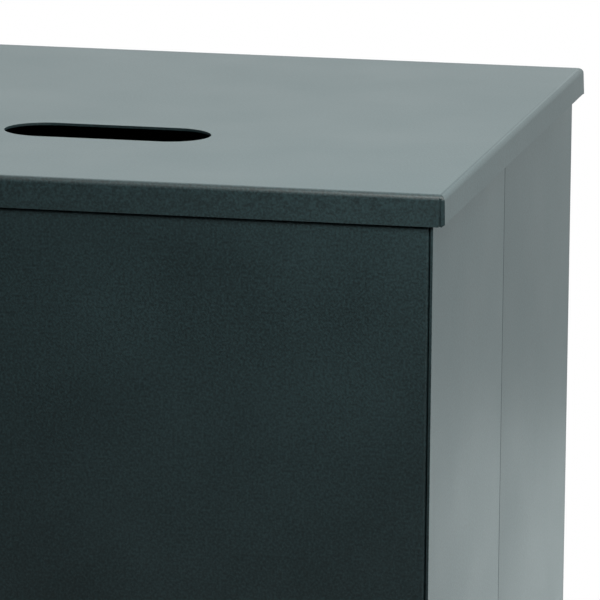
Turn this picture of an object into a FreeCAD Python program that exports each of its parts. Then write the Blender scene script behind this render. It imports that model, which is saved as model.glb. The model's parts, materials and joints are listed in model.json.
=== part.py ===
import FreeCAD, Part
import os
import re
import Sketcher
from math import cos, sin, tau

# Book drop box: a free-standing sheet-steel cabinet with a slotted lid, a flush front door on pivot
# pins, a cam lock, and a spring-held book platform that sinks as it fills.
# Frame: millimetres, +Z up, the door faces -Y, origin on the floor under the middle of the lid.

doc = FreeCAD.newDocument("BookDropBox")
sheet = doc.addObject("Spreadsheet::Sheet", "Sizes")

SIZES = (
    ("total_height", 900, "floor to the top of the lid"),
    ("lid_width", 600, "lid, side to side"),
    ("lid_depth", 630, "lid, front to back"),
    ("lid_sheet", 2, "lid sheet"),
    ("lid_bend", 3.2, "outer radius of the lid's folds"),
    ("front_lip", 23.6, "height of the lid's front and rear lips"),
    ("side_lip", 21.3, "height of the lid's side lips"),
    ("corner_joint", 1.6, "open joint between two lips"),
    ("corner_strip", 3.2, "side lip's end seen from the front"),
    ("slot_length", 160, "book slot, end to end"),
    ("slot_width", 65, "book slot, front to back"),
    ("slot_setback", 212, "lid's front face to the middle of the slot"),
    ("lid_rib_setback", 95, "middle of the slot to the middle of the front rib"),
    ("lid_rib_spacing", 280, "front rib to rear rib"),
    ("lid_rib_side_gap", 35, "rib's end to the outside of the wall"),
    ("side_overhang", 9, "lid's side face to the wall's outer face"),
    ("wall", 2, "body sheet"),
    ("wall_bend", 3.5, "outer radius of the body's folds"),
    ("fold", 1, "inner radius of a small fold"),
    ("seam_setback", 306, "lid's front face to the side seam"),
    ("seam_groove", 1, "gap between the two sheets of a side"),
    ("angle_leg", 20, "leg of the angles under the lid"),
    ("header_depth", 43, "header rail, front to back"),
    ("header_reveal", 1, "header's underside above the lip's lower edge"),
    ("sill_height", 40, "sill under the door"),
    ("sill_depth", 40, "sill, front to back"),
    ("base_upstand", 25, "upturned edge of the base pan"),
    ("jamb_setback", 28, "body's front plane to the jamb"),
    ("jamb_stop", 27, "jamb flange behind the door's edge"),
    ("jamb_leg", 23, "jamb flange along the wall"),
    ("rib_crown", 40, "crown of a hat-section rib"),
    ("rib_flange", 14, "flange of a hat-section rib"),
    ("rib_deep", 16, "height of a hat-section rib"),
    ("rib_sheet", 1.5, "sheet of a hat-section rib"),
    ("stud_radius", 3, "weld studs of the lid"),
    ("stud_drop", 16, "length of a weld stud"),
    ("stud_end_gap", 70, "first and last stud from the body's front and rear"),
    ("stud_hole_gap", 0.5, "radial room round a stud"),
    ("lid_nut_radius", 5.8, "corner radius of a lid nut"),
    ("lid_nut_thick", 5, "lid nut"),
    ("door_sheet", 1.5, "door sheet"),
    ("door_thick", 20, "door pan, front to back"),
    ("door_bend", 2.2, "outer radius of the door's folds"),
    ("door_side_gap", 2, "gap between the door and each side wall"),
    ("door_top_gap", 2, "gap between the lid's lip and the door"),
    ("door_bottom_gap", 3, "gap between the sill and the door"),
    ("door_lip", 15, "inward lip round the back of the door pan"),
    ("stiffener_end_gap", 60, "door stiffener's end to the door's edge"),
    ("pivot_inset", 14, "door's left edge to the pivot axis"),
    ("pivot_setback", 7, "door's face to the pivot axis"),
    ("pin_radius", 4, "pivot pin"),
    ("pin_play", 0.05, "radial clearance of a pivot pin"),
    ("pin_stub", 2, "upper pin's welded end above the header's flange"),
    ("pin_collar_radius", 7, "lower pin's collar"),
    ("pin_reach", 12, "pin's length inside the door"),
    ("bush_wall", 2, "wall of a pivot bush"),
    ("bush_flange", 1.5, "flange of a pivot bush"),
    ("bush_flange_radius", 9, "flange of a pivot bush"),
    ("collar_play", 0.1, "lower bush's flange above the pin's collar"),
    ("buffer_radius", 6, "door buffers"),
    ("buffer_play", 0.3, "door to its buffers"),
    ("buffer_inset", 10, "door's right edge to the buffers"),
    ("buffer_spacing", 560, "lower to upper door buffer"),
    ("lock_inset", 37, "door's right edge to the lock"),
    ("lock_level", 560, "floor to the lock"),
    ("lock_radius", 9.5, "lock housing"),
    ("bezel_radius", 12, "lock bezel"),
    ("bezel_thick", 1.3, "lock bezel in front of the door"),
    ("plug_radius", 6.5, "turning plug"),
    ("plug_play", 0.05, "radial clearance of the plug"),
    ("plug_sink", 0.4, "plug's face behind the bezel's face"),
    ("key_slot_long", 7, "key slot in the plug"),
    ("key_slot_wide", 1.6, "key slot in the plug"),
    ("key_slot_deep", 8, "key slot in the plug"),
    ("lock_nut_radius", 14, "corner radius of the lock nut"),
    ("lock_nut_thick", 5, "lock nut"),
    ("cam_width", 16, "lock cam"),
    ("cam_reach", 32, "lock axis to the cam's tip"),
    ("cam_thick", 2.5, "lock cam"),
    ("cam_gap", 0.5, "jamb to the cam, and housing to the cam"),
    ("cam_screw_radius", 2, "cam screw"),
    ("cam_screw_head", 4.5, "radius of the cam screw's head"),
    ("cam_screw_head_thick", 2.5, "cam screw's head"),
    ("cam_screw_reach", 12, "cam screw inside the plug"),
    ("pull_inset", 57, "door's right edge to the middle of the finger pull"),
    ("pull_level", 470, "floor to the middle of the finger pull"),
    ("cup_width", 34, "cup of the finger pull"),
    ("cup_height", 116, "cup of the finger pull"),
    ("cup_deep", 16, "cup behind the door's face"),
    ("cup_wall", 1.5, "wall of the cup"),
    ("cup_play", 0.25, "cup in the door's cut-out"),
    ("cup_round", 6, "corner radius of the cup"),
    ("grip_lip", 10, "lip that the fingers pull on"),
    ("pull_plate", 1.2, "face plate of the finger pull"),
    ("pull_rim", 5, "face plate beyond the cup, sideways"),
    ("pull_tab", 12, "face plate beyond the cup, up and down"),
    ("pull_screw_radius", 1.6, "finger pull's screws"),
    ("pull_screw_head", 3.2, "head radius of the finger pull's screws"),
    ("pull_screw_length", 8, "finger pull's screws"),
    ("post_width", 60, "guide post, front to back"),
    ("post_depth", 22, "guide post, out from the wall"),
    ("post_lip", 14, "inturned lip of a guide post"),
    ("shoe_side_play", 0.5, "shoe to the post's flanges"),
    ("shoe_face_play", 1, "shoe to the post's web and lips"),
    ("shoe_length", 100, "sliding shoe"),
    ("shoe_drop", 40, "shoe's lower end below the platform's top"),
    ("platform_level", 600, "floor to the top of the tray at rest"),
    ("platform_travel", 500, "stroke of the platform"),
    ("tray_sheet", 2, "platform tray"),
    ("tray_rim", 30, "downturned rim of the tray"),
    ("tray_bend", 3, "outer radius of the tray's folds"),
    ("tray_side_gap", 9, "tray to the side walls"),
    ("tray_front_gap", 17, "tray to the jambs"),
    ("tray_rear_gap", 11, "tray to the back wall"),
    ("notch_face_gap", 7, "tray's notch to the face of the guide post"),
    ("notch_side_gap", 6, "tray's notch to the sides of the guide post"),
    ("mat_thick", 8, "felt-faced foam mat"),
    ("mat_inset", 6, "mat's edge inside the tray's edge"),
    ("carriage_plate", 4, "carriage plate on the tray's rim"),
    ("carriage_width", 62, "carriage plate, front to back"),
    ("stem_width", 26, "carriage stem through the post's mouth"),
    ("carriage_screw_radius", 2.5, "carriage screws"),
    ("carriage_screw_head", 4.2, "head radius of a carriage screw"),
    ("carriage_screw_spacing", 44, "front to rear carriage screw"),
    ("eye_radius", 7.5, "outside of the eye lug on a shoe"),
    ("eye_hole", 4.5, "radius of the hole in an eye lug"),
    ("eye_thick", 3, "eye lug"),
    ("eye_stem", 6, "shoe's top to the eye's lower edge"),
    ("hook_ring", 5.2, "end ring of a spring, to the middle of its wire"),
    ("spring_radius", 8, "outside of a spring"),
    ("spring_wire", 0.9, "wire radius of a spring"),
    ("ring_play", 0.3, "gap at a spring's end rings"),
    ("anchor_radius", 3, "anchor bolt of a spring"),
    ("anchor_drop", 12, "guide post's top to the anchor bolt"),
    ("anchor_head_radius", 5, "head and nut of an anchor bolt"),
    ("anchor_head_thick", 4, "head and nut of an anchor bolt"),
    ("stop_width", 10, "upper stop, front to back"),
    ("stop_height", 20, "upper stop"),
    ("stop_play", 0.3, "shoe to the upper stops"),
    ("rest_radius", 25, "foot of a lower buffer"),
    ("rest_top_radius", 14, "top of a lower buffer"),
    ("rest_inset", 90, "lower buffers from the tray's edges"),
    ("foot_height", 20, "rubber foot"),
    ("foot_radius", 22, "rubber foot at the floor"),
    ("foot_top_radius", 19, "rubber foot at the base pan"),
    ("foot_inset", 45, "feet from the body's outer faces"),
    ("foot_recess", 9, "recess for the screw's head, up from the floor"),
    ("foot_recess_radius", 9, "recess for the screw's head"),
    ("foot_screw_radius", 4, "foot screw"),
    ("foot_screw_head", 7, "head radius of a foot screw"),
    ("foot_screw_head_thick", 4, "head of a foot screw"),
    ("foot_nut_radius", 7.5, "corner radius of a foot nut"),
    ("foot_nut_thick", 6.5, "foot nut"),
    ("thread_end", 3, "screw's end beyond its nut"),
)

for row, (alias, value, meaning) in enumerate(SIZES, start=1):
    sheet.set(f"A{row}", meaning)
    sheet.set(f"B{row}", str(value))
    sheet.setAlias(f"B{row}", alias)
doc.recompute()

STUDS_PER_SIDE = 3

# Places that several pieces share, in the sheet's own words.
LID_FRONT = "(-lid_depth / 2)"
LID_UNDERSIDE = "(total_height - lid_sheet)"
LIP_EDGE = "(total_height - front_lip)"
BODY_SIDE = "(lid_width / 2 - side_overhang)"
BODY_FRONT = f"({LID_FRONT} + lid_sheet)"
BODY_REAR = "(lid_depth / 2 - lid_sheet)"
INNER_SIDE = f"({BODY_SIDE} - wall)"
INNER_REAR = f"({BODY_REAR} - wall)"
SEAM = f"({LID_FRONT} + seam_setback)"
SLOT_MIDDLE = f"({LID_FRONT} + slot_setback)"
HEADER_REAR = f"({BODY_FRONT} + header_depth)"
HEADER_UNDERSIDE = f"({LIP_EDGE} + header_reveal)"
SILL_TOP = "(foot_height + sill_height)"
SILL_REAR = f"({BODY_FRONT} + sill_depth)"
PAN_TOP = "(foot_height + wall)"
ANGLE_EDGE = f"({LID_UNDERSIDE} - angle_leg)"
JAMB_FACE = f"({BODY_FRONT} + jamb_setback)"
DOOR_LEFT = f"(-{INNER_SIDE} + door_side_gap)"
DOOR_RIGHT = f"({INNER_SIDE} - door_side_gap)"
DOOR_TOP = f"({LIP_EDGE} - door_top_gap)"
DOOR_BOTTOM = f"({SILL_TOP} + door_bottom_gap)"
DOOR_REAR = f"({BODY_FRONT} + door_thick)"
SKIN_BACK = f"({BODY_FRONT} + door_sheet)"
PIVOT_X = f"({DOOR_LEFT} + pivot_inset)"
PIVOT_Y = f"({BODY_FRONT} + pivot_setback)"
LOCK_X = f"({DOOR_RIGHT} - lock_inset)"
CAM_FACE = f"({JAMB_FACE} + wall + cam_gap)"
PULL_X = f"({DOOR_RIGHT} - pull_inset)"
POST_FACE = f"({INNER_SIDE} - post_depth)"
POST_BOTTOM = "(foot_height + base_upstand)"
POST_TOP = ANGLE_EDGE
SHOE_X = f"({INNER_SIDE} - post_depth / 2)"
SHOE_BOTTOM = "(platform_level - shoe_drop)"
SHOE_TOP = f"({SHOE_BOTTOM} + shoe_length)"
TRAY_SIDE = f"({INNER_SIDE} - tray_side_gap)"
TRAY_FRONT = f"({JAMB_FACE} + tray_front_gap)"
TRAY_REAR = f"({INNER_REAR} - tray_rear_gap)"
TRAY_UNDERSIDE = "(platform_level - tray_sheet)"
NOTCH_X = f"({POST_FACE} - notch_face_gap)"
NOTCH_HALF = "(post_width / 2 + notch_side_gap)"
ANCHOR_Z = f"({POST_TOP} - anchor_drop)"
TOP_RING_Z = f"({ANCHOR_Z} + anchor_radius + ring_play + spring_wire - hook_ring)"
EYE_Z = f"({SHOE_TOP} + eye_stem + eye_radius)"
LOW_RING_Z = f"({EYE_Z} + eye_hole + hook_ring - spring_wire - ring_play)"

SIDES = (("left", "-"), ("right", ""))
TURNS = {
    "x": FreeCAD.Rotation(FreeCAD.Vector(0, 1, 0), 90),
    "y": FreeCAD.Rotation(FreeCAD.Vector(1, 0, 0), -90),
    "z": FreeCAD.Rotation(),
}
PLANE_NORMAL = {"XY_Plane": "z", "YZ_Plane": "x", "XZ_Plane": "y"}

nodes = []


def bind(thing, setting, words):
    """Tie a property to the sheet; the words are size names and arithmetic."""
    cells = re.sub(r"[a-z_]+", lambda name: f"Sizes.{name.group()}", words)
    thing.setExpression(setting, cells)


def keep(label, thing):
    """Make an object one of the finished sub-parts, under the name of its file."""
    thing.Label = label
    nodes.append(thing)
    return thing


def mirrored(sign, low, high):
    """A pair of places on one side of the middle, lowest first."""
    return (low, high) if sign == "" else (f"-{high}", f"-{low}")


# Part primitives and booleans


def block(name, x, y, z):
    """A box between two places along each axis."""
    box = doc.addObject("Part::Box", name)
    for size, axis, (low, high) in (("Length", "x", x), ("Width", "y", y), ("Height", "z", z)):
        bind(box, size, f"({high}) - ({low})")
        bind(box, f"Placement.Base.{axis}", low)
    return box


def bar(name, radius, x, y, z):
    """A round bar: the axis that it runs along has two places, the other two have its centre."""
    rod = doc.addObject("Part::Cylinder", name)
    bind(rod, "Radius", radius)
    for axis, place in (("x", x), ("y", y), ("z", z)):
        if isinstance(place, tuple):
            low, high = place
            rod.Placement = FreeCAD.Placement(FreeCAD.Vector(), TURNS[axis])
            bind(rod, "Height", f"({high}) - ({low})")
    for axis, place in (("x", x), ("y", y), ("z", z)):
        base = place[0] if isinstance(place, tuple) else place
        bind(rod, f"Placement.Base.{axis}", base)
    return rod


def hexagon(name, radius, thick, x, y, z, axis="z"):
    """A six-sided nut blank that stands on its lower face."""
    prism = doc.addObject("Part::Prism", name)
    prism.Polygon = 6
    prism.Placement = FreeCAD.Placement(FreeCAD.Vector(), TURNS[axis])
    bind(prism, "Circumradius", radius)
    bind(prism, "Height", thick)
    for letter, place in (("x", x), ("y", y), ("z", z)):
        bind(prism, f"Placement.Base.{letter}", place)
    return prism


def ring(name, radius, wire, x, y, z, axis):
    """A closed wire ring whose hole runs along the axis."""
    torus = doc.addObject("Part::Torus", name)
    torus.Placement = FreeCAD.Placement(FreeCAD.Vector(), TURNS[axis])
    bind(torus, "Radius1", radius)
    bind(torus, "Radius2", wire)
    for letter, place in (("x", x), ("y", y), ("z", z)):
        bind(torus, f"Placement.Base.{letter}", place)
    return torus


def joined(name, pieces):
    """One solid out of pieces that touch or overlap."""
    fusion = doc.addObject("Part::MultiFuse", name)
    fusion.Shapes = pieces
    return fusion


def cut(name, base, tools):
    """What is left of the base after all the tools."""
    result = doc.addObject("Part::Cut", name)
    result.Base = base
    result.Tool = tools[0] if len(tools) == 1 else joined(f"{name}_tools", tools)
    return result


def group(name, pieces):
    """Separate solids that share one file."""
    compound = doc.addObject("Part::Compound", name)
    compound.Links = pieces
    return compound


def rounded(name, base, size_name, picks):
    """Round the edges of a boolean result for which picks(edge) is true."""
    doc.recompute()
    radius = sheet.get(size_name)
    fillet = doc.addObject("Part::Fillet", name)
    fillet.Base = base
    fillet.Edges = [
        (number, radius, radius)
        for number, edge in enumerate(base.Shape.Edges, start=1)
        if picks(edge)
    ]
    return fillet


def spans(edge, axis):
    """Length of an edge's box along one axis."""
    box = edge.BoundBox
    return {"x": box.XLength, "y": box.YLength, "z": box.ZLength}[axis]


# PartDesign bodies


def start_body(label, x="0", y="0", z="0"):
    body = doc.addObject("PartDesign::Body", label)
    for axis, place in (("x", x), ("y", y), ("z", z)):
        bind(body, f"Placement.Base.{axis}", place)
    return body


def polygon_sketch(body, name, plane, corners):
    """A closed outline whose corners are each set by two expressions."""
    sketch = body.newObject("Sketcher::SketchObject", name)
    support = [feature for feature in body.Origin.OriginFeatures if feature.Role == plane]
    sketch.AttachmentSupport = [(support[0], "")]
    sketch.MapMode = "FlatFace"
    count = len(corners)
    start = [FreeCAD.Vector(cos(tau * i / count), sin(tau * i / count), 0) for i in range(count)]
    for i in range(count):
        sketch.addGeometry(Part.LineSegment(start[i], start[(i + 1) % count]), False)
    for i in range(count):
        sketch.addConstraint(Sketcher.Constraint("Coincident", i, 2, (i + 1) % count, 1))
    for i, (across, along) in enumerate(corners):
        for kind, words in (("DistanceX", across), ("DistanceY", along)):
            index = sketch.addConstraint(Sketcher.Constraint(kind, -1, 1, i, 1, 1.0))
            bind(sketch, f"Constraints[{index}]", words)
    return sketch


def pad(body, sketch, length, reverse=False):
    feature = body.newObject("PartDesign::Pad", f"{sketch.Name}_pad")
    feature.Profile = sketch
    feature.Reversed = reverse
    bind(feature, "Length", length)
    return feature


def pocket(body, sketch, depth, reverse=False):
    """Cut a sketch into the body, and make sure that it removed material."""
    doc.recompute()
    before = body.Shape.Volume
    feature = body.newObject("PartDesign::Pocket", f"{sketch.Name}_pocket")
    feature.Profile = sketch
    feature.Reversed = reverse
    bind(feature, "Length", depth)
    doc.recompute()
    if body.Shape.Volume > before - 1e-6:
        raise RuntimeError(f"{feature.Name} cuts nothing")
    return feature


def fillet_feature(body, name, base, radius, picks):
    doc.recompute()
    feature = body.newObject("PartDesign::Fillet", name)
    edges = [f"Edge{n}" for n, edge in enumerate(base.Shape.Edges, start=1) if picks(edge)]
    feature.Base = (base, edges)
    bind(feature, "Radius", radius)
    return feature


def long_edges_at(sketch, corners, axis):
    """Pick the edges that leave a section at these corners, along the sheet's run."""
    points = [sketch.Placement.multVec(sketch.getPoint(index, 1)) for index in corners]

    def picks(edge):
        box = edge.BoundBox
        if abs(box.DiagonalLength - spans(edge, axis)) > 1e-6:
            return False
        ends = [vertex.Point for vertex in edge.Vertexes]
        return any(end.distanceToPoint(point) < 1e-5 for end in ends for point in points)

    return picks


def folded_section(label, plane, corners, low, high, outer=(), inner=(), bend="wall + fold"):
    """A folded sheet of one section, from low to high along the plane's normal."""
    axis = PLANE_NORMAL[plane]
    body = start_body(label, **{axis: high if axis == "y" else low})
    sketch = polygon_sketch(body, f"{label}_section", plane, corners)
    feature = pad(body, sketch, f"({high}) - ({low})")
    for name, chosen, radius in (("outer", outer, bend), ("inner", inner, "fold")):
        if chosen:
            doc.recompute()
            picks = long_edges_at(sketch, chosen, axis)
            feature = fillet_feature(body, f"{label}_{name}_folds", feature, radius, picks)
    return body


def turned(label, corners, x, y, z):
    """A piece turned about its own upright axis; corners are (radius, level) pairs."""
    body = start_body(label, x, y, z)
    sketch = polygon_sketch(body, f"{label}_profile", "XZ_Plane", corners)
    turn = body.newObject("PartDesign::Revolution", f"{label}_turn")
    turn.Profile = sketch
    turn.ReferenceAxis = (sketch, ["V_Axis"])
    turn.Angle = 360
    return body


def hat_corners(middle, panel, away):
    """Section of a hat rib whose flanges lie on a panel; away is the sign of its depth."""
    low = f"({middle} - rib_crown / 2)"
    high = f"({middle} + rib_crown / 2)"
    flange_back = f"({panel} {away} rib_sheet)"
    crown = f"({panel} {away} rib_deep)"
    crown_back = f"({panel} {away} rib_deep {'+' if away == '-' else '-'} rib_sheet)"
    return (
        (f"{low} - rib_flange", panel),
        (f"{low} + rib_sheet", panel),
        (f"{low} + rib_sheet", crown_back),
        (f"{high} - rib_sheet", crown_back),
        (f"{high} - rib_sheet", panel),
        (f"{high} + rib_flange", panel),
        (f"{high} + rib_flange", flange_back),
        (high, flange_back),
        (high, crown),
        (low, crown),
        (low, flange_back),
        (f"{low} - rib_flange", flange_back),
    )


# Lid


def slot_sketch(body, plane):
    """The slot's outline: two straight sides and two half-round ends."""
    sketch = body.newObject("Sketcher::SketchObject", "slot")
    support = [feature for feature in body.Origin.OriginFeatures if feature.Role == plane]
    sketch.AttachmentSupport = [(support[0], "")]
    sketch.MapMode = "FlatFace"
    radius = sheet.get("slot_width") / 2
    reach = sheet.get("slot_length") / 2 - radius
    middle = sheet.get("slot_setback") - sheet.get("lid_depth") / 2
    up = FreeCAD.Vector(0, 0, 1)
    right = FreeCAD.Vector(reach, middle, 0)
    left = FreeCAD.Vector(-reach, middle, 0)
    step = FreeCAD.Vector(0, radius, 0)
    sketch.addGeometry(Part.LineSegment(left - step, right - step), False)
    sketch.addGeometry(Part.ArcOfCircle(Part.Circle(right, up, radius), -tau / 4, tau / 4), False)
    sketch.addGeometry(Part.LineSegment(right + step, left + step), False)
    sketch.addGeometry(Part.ArcOfCircle(Part.Circle(left, up, radius), tau / 4, 3 * tau / 4), False)
    for line, line_end, arc, arc_end in ((0, 2, 1, 1), (2, 1, 1, 2), (2, 2, 3, 1), (0, 1, 3, 2)):
        sketch.addConstraint(Sketcher.Constraint("Tangent", line, line_end, arc, arc_end))
    sketch.addConstraint(Sketcher.Constraint("Equal", 1, 3))
    for words, constraint in (
        ("slot_width / 2", Sketcher.Constraint("Radius", 1, radius)),
        ("slot_length / 2 - slot_width / 2", Sketcher.Constraint("DistanceX", -1, 1, 1, 3, reach)),
        ("slot_length / 2 - slot_width / 2", Sketcher.Constraint("DistanceX", 3, 3, -1, 1, reach)),
        (SLOT_MIDDLE, Sketcher.Constraint("DistanceY", -1, 1, 1, 3, middle)),
        (SLOT_MIDDLE, Sketcher.Constraint("DistanceY", -1, 1, 3, 3, middle)),
    ):
        index = sketch.addConstraint(constraint)
        bind(sketch, f"Constraints[{index}]", words)
    return sketch


def rectangle(across, along):
    """Corners of a rectangle from its two places each way."""
    (left, right), (front, rear) = across, along
    return ((left, front), (right, front), (right, rear), (left, rear))


def make_lid():
    """Folded cap: lips all round, open corner joints, the book slot near the front."""
    body = start_body("lid_cover", z=LIP_EDGE)
    outline = polygon_sketch(
        body,
        "lid_outline",
        "XY_Plane",
        rectangle(("-lid_width / 2", "lid_width / 2"), ("-lid_depth / 2", "lid_depth / 2")),
    )
    plate = pad(body, outline, "front_lip")
    doc.recompute()
    top = sheet.get("front_lip")
    fillet_feature(
        body, "lid_folds", plate, "lid_bend", lambda edge: edge.BoundBox.ZMin > top - 1e-6
    )
    inner_side = "(lid_width / 2 - lid_sheet)"
    inside = polygon_sketch(
        body,
        "lid_inside",
        "XY_Plane",
        rectangle((f"-{inner_side}", inner_side), (BODY_FRONT, BODY_REAR)),
    )
    pocket(body, inside, "front_lip - lid_sheet", True)
    joint_end = "(lid_width / 2 - corner_strip)"
    joint_start = f"({joint_end} - corner_joint)"
    for side, sign in SIDES:
        side_edge = polygon_sketch(
            body,
            f"lid_{side}_lip_edge",
            "XY_Plane",
            rectangle(
                mirrored(sign, inner_side, "(lid_width / 2)"), (BODY_FRONT, BODY_REAR)
            ),
        )
        pocket(body, side_edge, "front_lip - side_lip", True)
        slant = polygon_sketch(
            body,
            f"lid_{side}_corner_slant",
            "XZ_Plane",
            (
                (f"{sign}{joint_end}", "0"),
                (f"{sign}(lid_width / 2)", "0"),
                (f"{sign}(lid_width / 2)", "front_lip - side_lip"),
            ),
        )
        cut_both_ways = pocket(body, slant, "lid_depth * 2")
        cut_both_ways.Midplane = True
        for end, (front, rear) in (
            ("front", (LID_FRONT, BODY_FRONT)),
            ("rear", (BODY_REAR, "(lid_depth / 2)")),
        ):
            joint = polygon_sketch(
                body,
                f"lid_{side}_{end}_joint",
                "XY_Plane",
                rectangle(mirrored(sign, joint_start, joint_end), (front, rear)),
            )
            pocket(body, joint, "front_lip - lid_bend", True)
    pocket(body, slot_sketch(body, "XY_Plane"), "front_lip", True)
    return body


def stud_place(number):
    """Distance of a stud from the middle of the row, as a share of the spread."""
    spread = f"({BODY_REAR} - {BODY_FRONT} - 2 * stud_end_gap)"
    return f"({BODY_FRONT} + stud_end_gap + {spread} * {number} / {STUDS_PER_SIDE - 1})"


def make_lid_fixing():
    """Ribs, weld studs and nuts under the lid, and the angles that they hold it to."""
    rib_end = f"({BODY_SIDE} - lid_rib_side_gap)"
    for label, place in (
        ("lid_front_rib", f"({SLOT_MIDDLE} - lid_rib_setback)"),
        ("lid_rear_rib", f"({SLOT_MIDDLE} - lid_rib_setback + lid_rib_spacing)"),
    ):
        section = hat_corners(place, LID_UNDERSIDE, "-")
        keep(label, folded_section(label, "YZ_Plane", section, f"-{rib_end}", rib_end))
    studs = []
    nuts = []
    for side, sign in SIDES:
        across = f"{sign}({INNER_SIDE} - angle_leg / 2)"
        holes = []
        for number in range(STUDS_PER_SIDE):
            along = stud_place(number)
            name = f"{side}_{number}"
            studs.append(
                bar(f"stud_{name}", "stud_radius", across, along,
                    (f"{LID_UNDERSIDE} - stud_drop", LID_UNDERSIDE))
            )
            holes.append(
                bar(f"stud_hole_{name}", "stud_radius + stud_hole_gap", across, along,
                    (f"{LID_UNDERSIDE} - 2 * wall", f"{LID_UNDERSIDE} + wall"))
            )
            nut_base = f"{LID_UNDERSIDE} - wall - lid_nut_thick"
            blank = hexagon(f"nut_blank_{name}", "lid_nut_radius", "lid_nut_thick",
                            across, along, nut_base)
            thread = bar(f"nut_thread_{name}", "stud_radius", across, along,
                         (f"{nut_base} - wall", LID_UNDERSIDE))
            nuts.append(cut(f"lid_nut_{name}", blank, [thread]))
        wall_face = f"{sign}{INNER_SIDE}"
        free_edge = f"{sign}({INNER_SIDE} - angle_leg)"
        inner_face = f"{sign}({INNER_SIDE} - wall)"
        section = (
            (wall_face, ANGLE_EDGE),
            (wall_face, LID_UNDERSIDE),
            (free_edge, LID_UNDERSIDE),
            (free_edge, f"{LID_UNDERSIDE} - wall"),
            (inner_face, f"{LID_UNDERSIDE} - wall"),
            (inner_face, ANGLE_EDGE),
        )
        angle = folded_section(f"{side}_top_angle_bar", "XZ_Plane", section,
                               HEADER_REAR, INNER_REAR, (1,), (4,))
        keep(f"{side}_top_angle", cut(f"{side}_top_angle_drilled", angle, holes))
    keep("lid_studs", group("lid_stud_group", studs))
    keep("lid_nuts", group("lid_nut_group", nuts))
    rear_end = f"({INNER_SIDE} - angle_leg)"
    section = (
        (INNER_REAR, ANGLE_EDGE),
        (INNER_REAR, LID_UNDERSIDE),
        (f"{INNER_REAR} - angle_leg", LID_UNDERSIDE),
        (f"{INNER_REAR} - angle_leg", f"{LID_UNDERSIDE} - wall"),
        (f"{INNER_REAR} - wall", f"{LID_UNDERSIDE} - wall"),
        (f"{INNER_REAR} - wall", ANGLE_EDGE),
    )
    keep("rear_top_angle", folded_section("rear_top_angle", "YZ_Plane", section,
                                          f"-{rear_end}", rear_end, (1,), (4,)))


# Body


def make_walls():
    """Two flat front side sheets, and one U-shaped sheet for the back and both rear sides."""
    front_end = f"({SEAM} - seam_groove / 2)"
    rear_start = f"({SEAM} + seam_groove / 2)"
    for side, sign in SIDES:
        keep(f"{side}_front_side",
             block(f"{side}_front_side", mirrored(sign, INNER_SIDE, BODY_SIDE),
                   (BODY_FRONT, front_end), ("foot_height", LID_UNDERSIDE)))
    section = (
        (f"-{BODY_SIDE}", rear_start),
        (f"-{BODY_SIDE}", BODY_REAR),
        (BODY_SIDE, BODY_REAR),
        (BODY_SIDE, rear_start),
        (INNER_SIDE, rear_start),
        (INNER_SIDE, INNER_REAR),
        (f"-{INNER_SIDE}", INNER_REAR),
        (f"-{INNER_SIDE}", rear_start),
    )
    keep("rear_shell", folded_section("rear_shell", "XY_Plane", section, "foot_height",
                                      LID_UNDERSIDE, (1, 2), (), "wall_bend"))


def rail_section(low, high, rear):
    """A channel open to the back: front web and two flanges."""
    return (
        (BODY_FRONT, low),
        (rear, low),
        (rear, f"{low} + wall"),
        (f"{BODY_FRONT} + wall", f"{low} + wall"),
        (f"{BODY_FRONT} + wall", f"{high} - wall"),
        (rear, f"{high} - wall"),
        (rear, high),
        (BODY_FRONT, high),
    )


def pin_hole(name, low, high):
    """Cutter for a pivot pin's seat in a rail's flange."""
    return bar(name, "pin_radius", PIVOT_X, PIVOT_Y, (low, high))


def make_rails():
    """Header behind the lid's front lip and sill under the door, each with a pivot pin's seat."""
    header = folded_section("header_bar", "YZ_Plane",
                            rail_section(HEADER_UNDERSIDE, LID_UNDERSIDE, HEADER_REAR),
                            f"-{INNER_SIDE}", INNER_SIDE, (0, 7), (3, 4))
    seat = pin_hole("header_seat", f"{HEADER_UNDERSIDE} - wall", f"{HEADER_UNDERSIDE} + 2 * wall")
    keep("front_header", cut("front_header_drilled", header, [seat]))
    sill = folded_section("sill_bar", "YZ_Plane",
                          rail_section("foot_height", SILL_TOP, SILL_REAR),
                          f"-{INNER_SIDE}", INNER_SIDE, (0, 7), (3, 4))
    seat = pin_hole("sill_seat", f"{SILL_TOP} - 2 * wall", f"{SILL_TOP} + wall")
    keep("front_sill", cut("front_sill_drilled", sill, [seat]))


def foot_places():
    """The four feet: name and centre."""
    front = f"({BODY_FRONT} + sill_depth + foot_inset)"
    rear = f"({BODY_REAR} - foot_inset)"
    return [
        (f"{end}_{side}", f"{sign}({BODY_SIDE} - foot_inset)", along)
        for end, along in (("front", front), ("rear", rear))
        for side, sign in SIDES
    ]


def make_base():
    """Folded base pan with a hole over each foot."""
    outer = block("pan_blank", (f"-{INNER_SIDE}", INNER_SIDE), (SILL_REAR, INNER_REAR),
                  ("foot_height", POST_BOTTOM))
    inner = block("pan_inside", (f"-{INNER_SIDE} + wall", f"{INNER_SIDE} - wall"),
                  (f"{SILL_REAR} + wall", f"{INNER_REAR} - wall"), (PAN_TOP, f"{POST_BOTTOM} + 1"))
    holes = [
        bar(f"pan_hole_{name}", "foot_screw_radius", x, y, ("foot_height - 1", f"{PAN_TOP} + 1"))
        for name, x, y in foot_places()
    ]
    keep("base_pan", cut("base_pan_drilled", cut("pan_shell", outer, [inner]), holes))


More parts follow.
